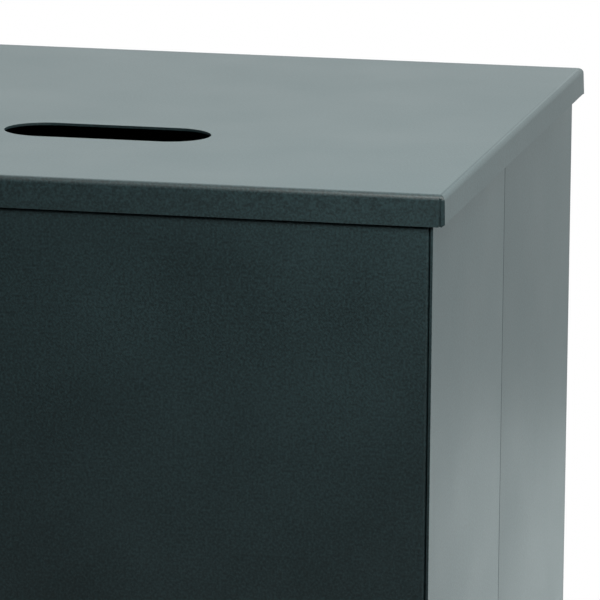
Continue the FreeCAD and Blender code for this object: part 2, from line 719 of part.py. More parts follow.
def make_jambs():
    """Angles behind the door's side edges."""
    for side, sign in SIDES:
        wall_face = f"{sign}{INNER_SIDE}"
        leg_face = f"{sign}({INNER_SIDE} - wall)"
        stop_edge = f"{sign}({INNER_SIDE} - jamb_stop)"
        stop_back = f"{JAMB_FACE} + wall"
        leg_end = f"{JAMB_FACE} + jamb_leg"
        section = (
            (wall_face, JAMB_FACE),
            (stop_edge, JAMB_FACE),
            (stop_edge, stop_back),
            (leg_face, stop_back),
            (leg_face, leg_end),
            (wall_face, leg_end),
        )
        label = f"{side}_door_jamb"
        keep(label, folded_section(label, "XY_Plane", section, SILL_TOP, HEADER_UNDERSIDE,
                                   (0,), (3,)))


def make_posts():
    """Lipped channels behind the side seams; the platform's shoes slide in them."""
    for side, sign in SIDES:
        front = f"({SEAM} - post_width / 2)"
        rear = f"({SEAM} + post_width / 2)"
        web = f"{sign}({INNER_SIDE} - wall)"
        face = f"{sign}{POST_FACE}"
        face_back = f"{sign}({POST_FACE} + wall)"
        section = (
            (f"{sign}{INNER_SIDE}", front),
            (face, front),
            (face, f"{front} + post_lip"),
            (face_back, f"{front} + post_lip"),
            (face_back, f"{front} + wall"),
            (web, f"{front} + wall"),
            (web, f"{rear} - wall"),
            (face_back, f"{rear} - wall"),
            (face_back, f"{rear} - post_lip"),
            (face, f"{rear} - post_lip"),
            (face, rear),
            (f"{sign}{INNER_SIDE}", rear),
        )
        post = folded_section(f"{side}_post_bar", "XY_Plane", section, POST_BOTTOM, POST_TOP,
                              (0, 1, 10, 11), (), "wall")
        across = f"{sign}{SHOE_X}"
        hole = bar(f"{side}_anchor_hole", "anchor_radius", across,
                   (f"{front} - 1", f"{rear} + 1"), ANCHOR_Z)
        keep(f"{side}_guide_post", cut(f"{side}_post_drilled", post, [hole]))


# Door


def make_door():
    """Folded door pan with a lip all round its back, cut for the lock, pull and pivot bushes."""
    outer = block("door_blank", (DOOR_LEFT, DOOR_RIGHT), (BODY_FRONT, DOOR_REAR),
                  (DOOR_BOTTOM, DOOR_TOP))

    def front_edge(edge):
        front = sheet.get("lid_sheet") - sheet.get("lid_depth") / 2
        return edge.BoundBox.YMax < front + 1e-6

    outer = rounded("door_blank_folds", outer, "door_bend", front_edge)
    inner = block("door_inside",
                  (f"{DOOR_LEFT} + door_sheet", f"{DOOR_RIGHT} - door_sheet"),
                  (SKIN_BACK, f"{DOOR_REAR} - door_sheet"),
                  (f"{DOOR_BOTTOM} + door_sheet", f"{DOOR_TOP} - door_sheet"))
    mouth = block("door_mouth",
                  (f"{DOOR_LEFT} + door_lip", f"{DOOR_RIGHT} - door_lip"),
                  (f"{DOOR_REAR} - 2 * door_sheet", f"{DOOR_REAR} + door_sheet"),
                  (f"{DOOR_BOTTOM} + door_lip", f"{DOOR_TOP} - door_lip"))
    skin = (f"{BODY_FRONT} - 1", f"{SKIN_BACK} + 1")
    lock_hole = bar("door_lock_hole", "lock_radius", LOCK_X, skin, "lock_level")
    bush_radius = "pin_radius + pin_play + bush_wall"
    bush_holes = bar("door_bush_holes", bush_radius, PIVOT_X, PIVOT_Y,
                     (f"{DOOR_BOTTOM} - 1", f"{DOOR_TOP} + 1"))
    cup_hole = block("door_cup_hole",
                     (f"{PULL_X} - cup_width / 2 - cup_play", f"{PULL_X} + cup_width / 2 + cup_play"),
                     skin,
                     ("pull_level - cup_height / 2 - cup_play",
                      "pull_level + cup_height / 2 + cup_play"))
    screws = [pull_screw_shape(f"door_screw_hole_{end}", level) for end, level in pull_screws()]
    keep("door_skin", cut("door_pan", outer,
                          [inner, mouth, lock_hole, bush_holes, cup_hole] + screws))
    section = hat_corners("0", SKIN_BACK, "+")
    keep("door_stiffener", folded_section("door_stiffener", "XY_Plane", section,
                                          f"{DOOR_BOTTOM} + stiffener_end_gap",
                                          f"{DOOR_TOP} - stiffener_end_gap"))


def make_pivots():
    """Fixed steel pins in the header and sill, and flanged plastic bushes in the door."""
    bore = "pin_radius + pin_play"
    for end, level, out in (("upper", DOOR_TOP, ""), ("lower", DOOR_BOTTOM, "-")):
        profile = (
            (bore, f"{out}bush_flange"),
            ("bush_flange_radius", f"{out}bush_flange"),
            ("bush_flange_radius", "0"),
            ("pin_radius + pin_play + bush_wall", "0"),
            ("pin_radius + pin_play + bush_wall", f"-({out}pin_reach)"),
            (bore, f"-({out}pin_reach)"),
        )
        label = f"{end}_pivot_bush"
        keep(label, turned(label, profile, PIVOT_X, PIVOT_Y, level))
    upper_tip = f"{DOOR_TOP} - {HEADER_UNDERSIDE} - pin_reach"
    profile = (
        ("0", upper_tip),
        ("pin_radius", upper_tip),
        ("pin_radius", "wall + pin_stub"),
        ("0", "wall + pin_stub"),
    )
    keep("upper_pivot_pin", turned("upper_pivot_pin", profile, PIVOT_X, PIVOT_Y, HEADER_UNDERSIDE))
    collar = "door_bottom_gap - bush_flange - collar_play"
    profile = (
        ("0", "-wall"),
        ("pin_radius", "-wall"),
        ("pin_radius", "0"),
        ("pin_collar_radius", "0"),
        ("pin_collar_radius", collar),
        ("pin_radius", collar),
        ("pin_radius", "door_bottom_gap + pin_reach"),
        ("0", "door_bottom_gap + pin_reach"),
    )
    keep("lower_pivot_pin", turned("lower_pivot_pin", profile, PIVOT_X, PIVOT_Y, SILL_TOP))


def make_door_buffers():
    """Two rubber buttons on the lock-side jamb."""
    across = f"{DOOR_RIGHT} - buffer_inset"
    middle = f"({DOOR_TOP} + {DOOR_BOTTOM}) / 2"
    buttons = [
        bar(f"buffer_{end}", "buffer_radius", across,
            (f"{DOOR_REAR} + buffer_play", JAMB_FACE), f"{middle} {sign} buffer_spacing / 2")
        for end, sign in (("lower", "-"), ("upper", "+"))
    ]
    keep("door_buffers", group("buffer_pair", buttons))


def make_lock():
    """Cam lock: fixed housing and nut, turning plug with its cam and screw."""
    bezel_face = f"({BODY_FRONT} - bezel_thick)"
    plug_face = f"({bezel_face} + plug_sink)"
    barrel = bar("lock_barrel", "lock_radius", LOCK_X,
                 (BODY_FRONT, f"{CAM_FACE} - cam_gap"), "lock_level")
    bezel = bar("lock_bezel", "bezel_radius", LOCK_X, (bezel_face, BODY_FRONT), "lock_level")
    bore = bar("lock_bore", "plug_radius + plug_play", LOCK_X,
               (f"{bezel_face} - 1", f"{CAM_FACE} + 1"), "lock_level")
    keep("lock_housing", cut("lock_housing_bored", joined("lock_blank", [barrel, bezel]), [bore]))
    plug = bar("plug_blank", "plug_radius", LOCK_X, (plug_face, CAM_FACE), "lock_level")
    key_slot = block("key_slot",
                     (f"{LOCK_X} - key_slot_wide / 2", f"{LOCK_X} + key_slot_wide / 2"),
                     (f"{plug_face} - 1", f"{plug_face} + key_slot_deep"),
                     ("lock_level - key_slot_long / 2", "lock_level + key_slot_long / 2"))
    thread = bar("plug_thread", "cam_screw_radius", LOCK_X,
                 (f"{CAM_FACE} - cam_screw_reach", f"{CAM_FACE} + 1"), "lock_level")
    keep("lock_plug", cut("lock_plug_cut", plug, [key_slot, thread]))
    cam_back = f"({CAM_FACE} + cam_thick)"
    arm = block("cam_arm", (f"{LOCK_X} - cam_width / 2", f"{LOCK_X} + cam_width / 2"),
                (CAM_FACE, cam_back), ("lock_level - cam_reach", "lock_level"))
    hub = bar("cam_hub", "cam_width / 2", LOCK_X, (CAM_FACE, cam_back), "lock_level")
    hole = bar("cam_hole", "cam_screw_radius", LOCK_X,
               (f"{CAM_FACE} - 1", f"{cam_back} + 1"), "lock_level")
    keep("lock_cam", cut("lock_cam_bored", joined("cam_blank", [arm, hub]), [hole]))
    shank = bar("cam_screw_shank", "cam_screw_radius", LOCK_X,
                (f"{CAM_FACE} - cam_screw_reach", cam_back), "lock_level")
    head = bar("cam_screw_cap", "cam_screw_head", LOCK_X,
               (cam_back, f"{cam_back} + cam_screw_head_thick"), "lock_level")
    keep("cam_screw", joined("cam_screw_solid", [shank, head]))
    blank = hexagon("lock_nut_blank", "lock_nut_radius", "lock_nut_thick",
                    LOCK_X, SKIN_BACK, "lock_level", "y")
    opening = bar("lock_nut_thread", "lock_radius", LOCK_X,
                  (f"{SKIN_BACK} - 1", f"{SKIN_BACK} + lock_nut_thick + 1"), "lock_level")
    keep("lock_nut", cut("lock_nut_bored", blank, [opening]))


def pull_screws():
    """Levels of the finger pull's two screws."""
    reach = "(cup_height / 2 + pull_tab / 2)"
    return (("lower", f"(pull_level - {reach})"), ("upper", f"(pull_level + {reach})"))


def pull_screw_shape(name, level):
    """A countersunk screw that lies flush with the finger pull's face plate."""
    face = f"({BODY_FRONT} - pull_plate)"
    cone = doc.addObject("Part::Cone", f"{name}_head")
    cone.Placement = FreeCAD.Placement(FreeCAD.Vector(), TURNS["y"])
    bind(cone, "Radius1", "pull_screw_head")
    bind(cone, "Radius2", "pull_screw_radius")
    bind(cone, "Height", "pull_screw_head - pull_screw_radius")
    for axis, place in (("x", PULL_X), ("y", face), ("z", level)):
        bind(cone, f"Placement.Base.{axis}", place)
    shank = bar(f"{name}_shank", "pull_screw_radius", PULL_X,
                (face, f"{face} + pull_screw_length"), level)
    return joined(name, [cone, shank])


def make_pull():
    """Recessed finger pull: a pressed cup, and a face plate whose edge the fingers hook behind."""
    left = f"({PULL_X} - cup_width / 2)"
    right = f"({PULL_X} + cup_width / 2)"
    low = "(pull_level - cup_height / 2)"
    high = "(pull_level + cup_height / 2)"
    plate_face = f"({BODY_FRONT} - pull_plate)"
    plate = block("pull_plate_blank", (f"{left} - pull_rim", f"{right} + pull_rim"),
                  (plate_face, BODY_FRONT), (f"{low} - pull_tab", f"{high} + pull_tab"))
    plate = rounded("pull_plate_corners", plate, "cup_round", lambda edge: spans(edge, "y") > 1e-6)
    cup = block("pull_cup_blank", (left, right), (BODY_FRONT, f"{BODY_FRONT} + cup_deep"),
                (low, high))
    hollow = block("pull_hollow", (f"{left} + cup_wall", f"{right} - cup_wall"),
                   (BODY_FRONT, f"{BODY_FRONT} + cup_deep - cup_wall"),
                   (f"{low} + cup_wall", f"{high} - cup_wall"))
    mouth = block("pull_mouth", (f"{left} + cup_wall", f"{right} - cup_wall - grip_lip"),
                  (f"{plate_face} - 1", f"{BODY_FRONT} + 1"),
                  (f"{low} + cup_wall", f"{high} - cup_wall"))
    cutters = [pull_screw_shape(f"pull_screw_hole_{end}", level) for end, level in pull_screws()]
    keep("finger_pull", cut("finger_pull_cut", joined("pull_blank", [plate, cup]),
                            [hollow, mouth] + cutters))
    screws = [pull_screw_shape(f"pull_screw_{end}", level) for end, level in pull_screws()]
    keep("pull_screws", group("pull_screw_pair", screws))


# Platform


def make_tray():
    """Folded tray with a rim turned down all round and a notch at each guide post."""
    outline = (
        (f"-{TRAY_SIDE}", TRAY_FRONT),
        (TRAY_SIDE, TRAY_FRONT),
        (TRAY_SIDE, f"{SEAM} - {NOTCH_HALF}"),
        (NOTCH_X, f"{SEAM} - {NOTCH_HALF}"),
        (NOTCH_X, f"{SEAM} + {NOTCH_HALF}"),
        (TRAY_SIDE, f"{SEAM} + {NOTCH_HALF}"),
        (TRAY_SIDE, TRAY_REAR),
        (f"-{TRAY_SIDE}", TRAY_REAR),
        (f"-{TRAY_SIDE}", f"{SEAM} + {NOTCH_HALF}"),
        (f"-{NOTCH_X}", f"{SEAM} + {NOTCH_HALF}"),
        (f"-{NOTCH_X}", f"{SEAM} - {NOTCH_HALF}"),
        (f"-{TRAY_SIDE}", f"{SEAM} - {NOTCH_HALF}"),
    )
    inset = "tray_sheet"
    side = f"({TRAY_SIDE} - {inset})"
    notch = f"({NOTCH_X} - {inset})"
    half = f"({NOTCH_HALF} + {inset})"
    front = f"({TRAY_FRONT} + {inset})"
    rear = f"({TRAY_REAR} - {inset})"
    inside = (
        (f"-{side}", front),
        (side, front),
        (side, f"{SEAM} - {half}"),
        (notch, f"{SEAM} - {half}"),
        (notch, f"{SEAM} + {half}"),
        (side, f"{SEAM} + {half}"),
        (side, rear),
        (f"-{side}", rear),
        (f"-{side}", f"{SEAM} + {half}"),
        (f"-{notch}", f"{SEAM} + {half}"),
        (f"-{notch}", f"{SEAM} - {half}"),
        (f"-{side}", f"{SEAM} - {half}"),
    )
    body = start_body("tray_pan", z="platform_level - tray_rim")
    plate = pad(body, polygon_sketch(body, "tray_outline", "XY_Plane", outline), "tray_rim")
    doc.recompute()
    top = sheet.get("tray_rim")
    fillet_feature(body, "tray_folds", plate, "tray_bend",
                   lambda edge: edge.BoundBox.ZMin > top - 1e-6)
    pocket(body, polygon_sketch(body, "tray_inside", "XY_Plane", inside),
           "tray_rim - tray_sheet", True)
    holes = [screw for side_name, sign in SIDES for screw in carriage_screws(side_name, sign, "hole")]
    keep("platform_tray", cut("platform_tray_drilled", body, holes))


def make_mat():
    """Soft mat on the tray, cut clear of the guide posts."""
    side = f"({TRAY_SIDE} - mat_inset)"
    mat = block("mat_blank", (f"-{side}", side),
                (f"{TRAY_FRONT} + mat_inset", f"{TRAY_REAR} - mat_inset"),
                ("platform_level", "platform_level + mat_thick"))
    notches = [
        block(f"mat_notch_{name}",
              mirrored(sign, f"({NOTCH_X} - mat_inset)", "(lid_width / 2)"),
              (f"{SEAM} - {NOTCH_HALF} - mat_inset", f"{SEAM} + {NOTCH_HALF} + mat_inset"),
              ("platform_level - 1", "platform_level + mat_thick + 1"))
        for name, sign in SIDES
    ]
    keep("platform_mat", cut("platform_mat_cut", mat, notches))


def carriage_screws(side, sign, purpose):
    """The two screws that hold a carriage to the tray's rim, or the cutters for their holes."""
    level = f"{TRAY_UNDERSIDE} - tray_rim / 2"
    screws = []
    for end, offset in (("front", "-"), ("rear", "+")):
        along = f"{SEAM} {offset} carriage_screw_spacing / 2"
        name = f"carriage_{purpose}_{side}_{end}"
        tip = f"({NOTCH_X} + carriage_plate)"
        head_base = f"({NOTCH_X} - tray_sheet)"
        shank = bar(name, "carriage_screw_radius", mirrored(sign, head_base, tip), along, level)
        if purpose == "hole":
            screws.append(shank)
            continue
        head_end = f"({head_base} - carriage_screw_radius)"
        head = bar(f"{name}_head", "carriage_screw_head",
                   mirrored(sign, head_end, head_base), along, level)
        screws.append(joined(f"{name}_solid", [shank, head]))
    return screws


def make_carriages():
    """Steel carriages on the tray, plastic shoes in the posts, and eye bolts for the springs."""
    all_screws = []
    for side, sign in SIDES:
        plate_face = f"({NOTCH_X} + carriage_plate)"
        shoe_face = f"({POST_FACE} + wall + shoe_face_play)"
        plate = block(f"{side}_carriage_plate", mirrored(sign, NOTCH_X, plate_face),
                      (f"{SEAM} - carriage_width / 2", f"{SEAM} + carriage_width / 2"),
                      ("platform_level - tray_rim", TRAY_UNDERSIDE))
        stem = block(f"{side}_carriage_stem", mirrored(sign, plate_face, shoe_face),
                     (f"{SEAM} - stem_width / 2", f"{SEAM} + stem_width / 2"),
                     (SHOE_BOTTOM, SHOE_TOP))
        blank = joined(f"{side}_carriage_blank", [plate, stem])
        cutters = [
            bar(f"{side}_carriage_tap_{end}", "carriage_screw_radius",
                mirrored(sign, f"({NOTCH_X} - 1)", f"({plate_face} + 1)"),
                f"{SEAM} {offset} carriage_screw_spacing / 2", f"{TRAY_UNDERSIDE} - tray_rim / 2")
            for end, offset in (("front", "-"), ("rear", "+"))
        ]
        keep(f"{side}_carriage", cut(f"{side}_carriage_drilled", blank, cutters))
        shoe_back = f"({INNER_SIDE} - wall - shoe_face_play)"
        half = "(post_width / 2 - wall - shoe_side_play)"
        shoe = block(f"{side}_shoe_blank", mirrored(sign, shoe_face, shoe_back),
                     (f"{SEAM} - {half}", f"{SEAM} + {half}"), (SHOE_BOTTOM, SHOE_TOP))
        keep(f"{side}_guide_shoe", shoe)
        across = f"{sign}{SHOE_X}"
        lug_faces = (f"{across} - eye_thick / 2", f"{across} + eye_thick / 2")
        neck = block(f"{side}_eye_neck", lug_faces,
                     (f"{SEAM} - eye_radius", f"{SEAM} + eye_radius"), (SHOE_TOP, EYE_Z))
        disc = bar(f"{side}_eye_disc", "eye_radius", lug_faces, SEAM, EYE_Z)
        eye_hole = bar(f"{side}_eye_opening", "eye_hole",
                       (f"{across} - eye_thick", f"{across} + eye_thick"), SEAM, EYE_Z)
        keep(f"{side}_spring_eye",
             cut(f"{side}_eye_lug", joined(f"{side}_eye_blank", [neck, disc]), [eye_hole]))
        all_screws += carriage_screws(side, sign, "screw")
    keep("carriage_screws", group("carriage_screw_set", all_screws))


def make_springs():
    """Extension springs in the posts, the bolts that they hang from, and the upper stops."""
    stops = []
    for side, sign in SIDES:
        across = f"{sign}{SHOE_X}"
        top = f"({TOP_RING_Z} - hook_ring)"
        bottom = f"({LOW_RING_Z} + hook_ring)"
        coil = bar(f"{side}_coil", "spring_radius", across, SEAM, (bottom, top))
        hollow = bar(f"{side}_coil_hollow", "spring_radius - 2 * spring_wire", across, SEAM,
                     (f"{bottom} + 2 * spring_wire", f"{top} - 2 * spring_wire"))
        rings = [
            ring(f"{side}_{end}_ring", "hook_ring", "spring_wire", across, SEAM, level, "y")
            for end, level in (("top", TOP_RING_Z), ("low", LOW_RING_Z))
        ]
        tube = cut(f"{side}_coil_tube", coil, [hollow])
        keep(f"{side}_spring", joined(f"{side}_spring_solid", [tube] + rings))
        front = f"({SEAM} - post_width / 2)"
        rear = f"({SEAM} + post_width / 2)"
        bolt = bar(f"{side}_anchor_shank", "anchor_radius", across, (front, rear), ANCHOR_Z)
        caps = [
            hexagon(f"{side}_anchor_{end}", "anchor_head_radius", "anchor_head_thick",
                    across, base, ANCHOR_Z, "y")
            for end, base in (("head", f"{front} - anchor_head_thick"), ("nut", rear))
        ]
        keep(f"{side}_spring_anchor", joined(f"{side}_anchor_bolt", [bolt] + caps))
        for end, (low, high) in (
            ("front", (f"{front} + wall", f"{front} + wall + stop_width")),
            ("rear", (f"{rear} - wall - stop_width", f"{rear} - wall")),
        ):
            stops.append(
                block(f"{side}_{end}_stop",
                      mirrored(sign, f"({POST_FACE} + wall)", f"({INNER_SIDE} - wall)"),
                      (low, high),
                      (f"{SHOE_TOP} + stop_play", f"{SHOE_TOP} + stop_play + stop_height"))
            )
    keep("upper_stops", group("upper_stop_set", stops))


def make_lower_buffers():
    """Rubber cones on the base pan that the tray lands on."""
    top = f"({TRAY_UNDERSIDE} - platform_travel - buffer_play - {PAN_TOP})"
    cones = []
    for end, along in (("front", f"{TRAY_FRONT} + rest_inset"), ("rear", f"{TRAY_REAR} - rest_inset")):
        for side, sign in SIDES:
            profile = (("0", "0"), ("rest_radius", "0"), ("rest_top_radius", top), ("0", top))
            cones.append(turned(f"{end}_{side}_cone", profile,
                                f"{sign}({TRAY_SIDE} - rest_inset)", along, PAN_TOP))
    keep("lower_buffers", group("lower_buffer_set", cones))


# Feet


def make_feet():
    """Rubber feet with sunk screws, and nuts on the base pan."""
    screws = []
    nuts = []
    for name, x, y in foot_places():
        profile = (
            ("foot_screw_radius", "foot_recess"),
            ("foot_recess_radius", "foot_recess"),
            ("foot_recess_radius", "0"),
            ("foot_radius", "0"),
            ("foot_top_radius", "foot_height"),
            ("foot_screw_radius", "foot_height"),
        )
        label = f"{name}_foot"
        keep(label, turned(label, profile, x, y, "0"))
        tip = f"{PAN_TOP} + foot_nut_thick + thread_end"
        screw_profile = (
            ("0", "foot_recess - foot_screw_head_thick"),
            ("foot_screw_head", "foot_recess - foot_screw_head_thick"),
            ("foot_screw_head", "foot_recess"),
            ("foot_screw_radius", "foot_recess"),
            ("foot_screw_radius", tip),
            ("0", tip),
        )
        screws.append(turned(f"{name}_foot_screw", screw_profile, x, y, "0"))
        blank = hexagon(f"{name}_foot_nut_blank", "foot_nut_radius", "foot_nut_thick",
                        x, y, PAN_TOP)
        thread = bar(f"{name}_foot_nut_thread", "foot_screw_radius", x, y,
                     (f"{PAN_TOP} - 1", f"{PAN_TOP} + foot_nut_thick + 1"))
        nuts.append(cut(f"{name}_foot_nut", blank, [thread]))
    keep("foot_screws", group("foot_screw_set", screws))
    keep("foot_nuts", group("foot_nut_set", nuts))


def check_and_write():
    """Stop on any failed feature or empty shape, then write one file per sub-part."""
    doc.recompute()
    failed = [
        thing.Name for thing in doc.Objects if "Invalid" in thing.State or "Error" in thing.State
    ]
    if failed:
        raise RuntimeError(f"failed: {failed}")
    for node in nodes:
        if node.Shape.isNull() or not node.Shape.isValid() or not node.Shape.Solids:
            raise RuntimeError(f"{node.Label} has no valid solid")
    os.makedirs("parts", exist_ok=True)
    for node in nodes:
        node.Shape.exportStep(f"parts/{node.Label}.step")
    print(len(nodes), "sub-parts written")


keep("lid_cover", make_lid())
make_lid_fixing()
make_walls()
make_rails()
make_base()
make_jambs()
make_posts()
make_door()
make_pivots()
make_door_buffers()
make_lock()
make_pull()
make_tray()
make_mat()
make_carriages()
make_springs()
make_lower_buffers()
make_feet()
check_and_write()
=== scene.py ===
import json
import math

import bmesh
import bpy
from bpy.props import FloatProperty, FloatVectorProperty, PointerProperty
from mathutils import Matrix, Vector
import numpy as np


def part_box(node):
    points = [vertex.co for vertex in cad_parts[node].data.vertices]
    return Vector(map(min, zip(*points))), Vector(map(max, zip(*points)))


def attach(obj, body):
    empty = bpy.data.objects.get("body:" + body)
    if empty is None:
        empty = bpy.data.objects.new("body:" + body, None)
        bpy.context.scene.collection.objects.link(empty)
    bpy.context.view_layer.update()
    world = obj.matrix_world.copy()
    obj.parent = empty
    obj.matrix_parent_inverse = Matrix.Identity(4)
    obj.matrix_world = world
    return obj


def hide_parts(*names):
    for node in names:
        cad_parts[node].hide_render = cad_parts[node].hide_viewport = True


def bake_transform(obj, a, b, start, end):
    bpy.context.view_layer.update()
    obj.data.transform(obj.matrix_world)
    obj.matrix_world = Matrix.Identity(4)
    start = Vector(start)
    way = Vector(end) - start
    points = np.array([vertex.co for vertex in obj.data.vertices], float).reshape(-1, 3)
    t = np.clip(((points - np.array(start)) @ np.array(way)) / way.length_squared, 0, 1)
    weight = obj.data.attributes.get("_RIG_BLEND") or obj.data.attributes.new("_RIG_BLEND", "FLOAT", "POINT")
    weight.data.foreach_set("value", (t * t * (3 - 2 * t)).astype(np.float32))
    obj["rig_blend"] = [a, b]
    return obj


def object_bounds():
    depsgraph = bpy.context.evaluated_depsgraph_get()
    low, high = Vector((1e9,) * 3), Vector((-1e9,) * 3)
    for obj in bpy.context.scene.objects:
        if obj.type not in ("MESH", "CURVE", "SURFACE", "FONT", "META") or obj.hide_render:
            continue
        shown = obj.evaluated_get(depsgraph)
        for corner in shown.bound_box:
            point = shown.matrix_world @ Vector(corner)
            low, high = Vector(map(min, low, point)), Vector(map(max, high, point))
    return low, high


bl_info = {
    "name": "Book drop box",
    "version": (1, 0, 0),
    "blender": (4, 5, 0),
    "location": "View3D > Sidebar > Drop Box",
    "description": "Builds the finished surfaces of a sheet-steel book drop box round its frame",
    "category": "Object",
}

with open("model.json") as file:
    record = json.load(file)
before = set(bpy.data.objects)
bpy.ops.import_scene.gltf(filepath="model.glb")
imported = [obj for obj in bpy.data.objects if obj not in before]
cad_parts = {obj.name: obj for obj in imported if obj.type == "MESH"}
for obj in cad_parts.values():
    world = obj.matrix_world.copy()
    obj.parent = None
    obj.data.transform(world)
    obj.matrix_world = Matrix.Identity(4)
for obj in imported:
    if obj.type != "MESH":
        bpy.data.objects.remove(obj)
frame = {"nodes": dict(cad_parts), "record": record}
CAD_LOW, CAD_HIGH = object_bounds()

MM = 0.001
SIDES = (("left", -1), ("right", 1))

# Sheet of the lid, walls, rails and pans, and the thinner one of the door and the ribs
SHEET = 2 * MM
THIN_SHEET = 1.5 * MM


def linear(hex_colour):
    """Linear red, green and blue of an sRGB hex value."""
    shares = [int(hex_colour[i : i + 2], 16) / 255 for i in (1, 3, 5)]
    return tuple(s / 12.92 if s <= 0.04045 else ((s + 0.055) / 1.055) ** 2.4 for s in shares)


# Settings that a user would change


class DropBoxPaint(bpy.types.PropertyGroup):
    """Powder coat of the sheet-steel parts."""

    colour: FloatVectorProperty(
        name="Coat colour", description="Slate grey powder coat with a touch of green-blue",
        subtype="COLOR", size=3, min=0, max=1, default=linear("#19282b"))
    roughness: FloatProperty(
        name="Roughness", description="How matt the cured coat is",
        subtype="FACTOR", min=0, max=1, default=0.42)
    texture_depth: FloatProperty(
        name="Texture depth", description="Height of the coat's fine grain",
        unit="LENGTH", min=0, default=0.13 * MM)
    grain: FloatProperty(
        name="Grain size", description="Spacing of the coat's fine grain",
        unit="LENGTH", min=0.0001, default=0.9 * MM)


class DropBoxSheet(bpy.types.PropertyGroup):
    """Folds and edges of the sheet metal."""

    lid_fold: FloatProperty(
        name="Lid fold", description="Outer radius of the lid's folds",
        unit="LENGTH", min=0, default=4.5 * MM)
    wall_fold: FloatProperty(
        name="Wall fold", description="Outer radius of the body's rear folds",
        unit="LENGTH", min=0, default=3.5 * MM)
    door_fold: FloatProperty(
        name="Door fold", description="Outer radius of the door's folds",
        unit="LENGTH", min=0, default=2.2 * MM)
    edge: FloatProperty(
        name="Cut edge", description="Radius that the coat leaves on a cut edge",
        unit="LENGTH", min=0, default=0.35 * MM)
    lid_edge: FloatProperty(
        name="Lid's cut edge", description="Radius of the lid's thicker coat on its cut edges",
        unit="LENGTH", min=0, default=0.9 * MM)
    bulge: FloatProperty(
        name="Side bulge", description="How far each side sheet bows out between its supports",
        unit="LENGTH", min=0, default=1.3 * MM)
    inner_fold: FloatProperty(
        name="Bracket fold", description="Outer radius of the folds of rails, posts and ribs",
        unit="LENGTH", min=0, default=2.5 * MM)
    tray_fold: FloatProperty(
        name="Tray fold", description="Outer radius of the platform tray's folds",
        unit="LENGTH", min=0, default=3 * MM)
    flare: FloatProperty(
        name="Lip flare", description="How far springback takes the front and rear lips out",
        unit="LENGTH", min=0, default=1.5 * MM)
    side_flare: FloatProperty(
        name="Side lip flare", description="How far springback takes the side lips out",
        unit="LENGTH", min=0, default=0.8 * MM)
    door_growth: FloatProperty(
        name="Door growth", description="How far the finished door fills its side gap",
        unit="LENGTH", min=0, default=1 * MM)
    door_rise: FloatProperty(
        name="Door rise", description="How far the finished door fills the gap under the lid",
        unit="LENGTH", min=0, default=1.6 * MM)


class DropBoxStudio(bpy.types.PropertyGroup):
    """Camera and light."""

    lens: FloatProperty(
        name="Lens", description="Focal length of the camera",
        unit="CAMERA", min=1, default=391.3)
    azimuth: FloatProperty(
        name="Azimuth", description="Camera's turn to the right of the door's normal",
        subtype="ANGLE", default=math.radians(11.50))
    elevation: FloatProperty(
        name="Elevation", description="How far the camera looks down",
        subtype="ANGLE", default=math.radians(10.79))
    roll: FloatProperty(
        name="Roll", description="Camera's lean",
        subtype="ANGLE", default=math.radians(0.59))


# Modelling by hand: selection, primitives, edit-mode steps, modifiers


def select_only(obj):
    """Make one object the only selected one, and the active one."""
    bpy.ops.object.select_all(action="DESELECT")
    obj.select_set(True)
    bpy.context.view_layer.objects.active = obj


def settle(name):
    """Name the new active object and put its place into its mesh."""
    obj = bpy.context.active_object
    obj.name = name
    obj.data.name = name
    bpy.ops.object.transform_apply(location=True, rotation=True, scale=True)
    return obj


def add_block(name, low, high):
    """A cube stretched between two corners."""
    bpy.ops.object.select_all(action="DESELECT")
    low, high = Vector(low), Vector(high)
    bpy.ops.mesh.primitive_cube_add(size=1, location=(low + high) / 2)
    bpy.context.active_object.scale = high - low
    return settle(name)


def add_plane(name, centre, width, depth, turn=(0, 0, 0)):
    """A flat sheet."""
    bpy.ops.object.select_all(action="DESELECT")
    bpy.ops.mesh.primitive_plane_add(size=1, location=centre, rotation=turn)
    bpy.context.active_object.scale = (width, depth, 1)
    return settle(name)


def add_rod(name, centre, radius, length, sides, turn=(0, 0, 0)):
    """A cylinder, upright unless it is turned."""
    bpy.ops.object.select_all(action="DESELECT")
    bpy.ops.mesh.primitive_cylinder_add(
        vertices=sides, radius=radius, depth=length, location=centre, rotation=turn)
    return settle(name)


def pick_nothing(obj, mode):
    """In edit mode, clear the selection, set the select mode and give the shape."""
    shape = bmesh.from_edit_mesh(obj.data)
    bpy.context.tool_settings.mesh_select_mode = mode
    for part in (*shape.verts, *shape.edges, *shape.faces):
        part.select = False
    return shape


def pick_edges(obj, test):
    """In edit mode, select just the edges for which test(first end, second end) is true."""
    for edge in pick_nothing(obj, (False, True, False)).edges:
        if test(edge.verts[0].co, edge.verts[1].co):
            edge.select_set(True)
    bmesh.update_edit_mesh(obj.data)


def pick_faces(obj, test):
    """In edit mode, select just the faces for which test(centre) is true."""
    for face in pick_nothing(obj, (False, False, True)).faces:
        if test(face.calc_center_median()):
            face.select_set(True)
    bmesh.update_edit_mesh(obj.data)


def pull_rim(obj, move):
    """Extrude the open rim of a sheet by a move."""
    shape = bmesh.from_edit_mesh(obj.data)
    rim = {frozenset((tuple(e.verts[0].co), tuple(e.verts[1].co)))
           for e in shape.edges if e.is_boundary}
    pick_edges(obj, lambda a, b: frozenset((tuple(a), tuple(b))) in rim)
    bpy.ops.mesh.extrude_region_move(TRANSFORM_OT_translate={"value": move})


def bend_edges(obj, test, radius, segments):
    """In edit mode, round the edges for which test is true, as a press brake bends them."""
    pick_edges(obj, test)
    bpy.ops.mesh.bevel(offset=radius, segments=segments, affect="EDGES")


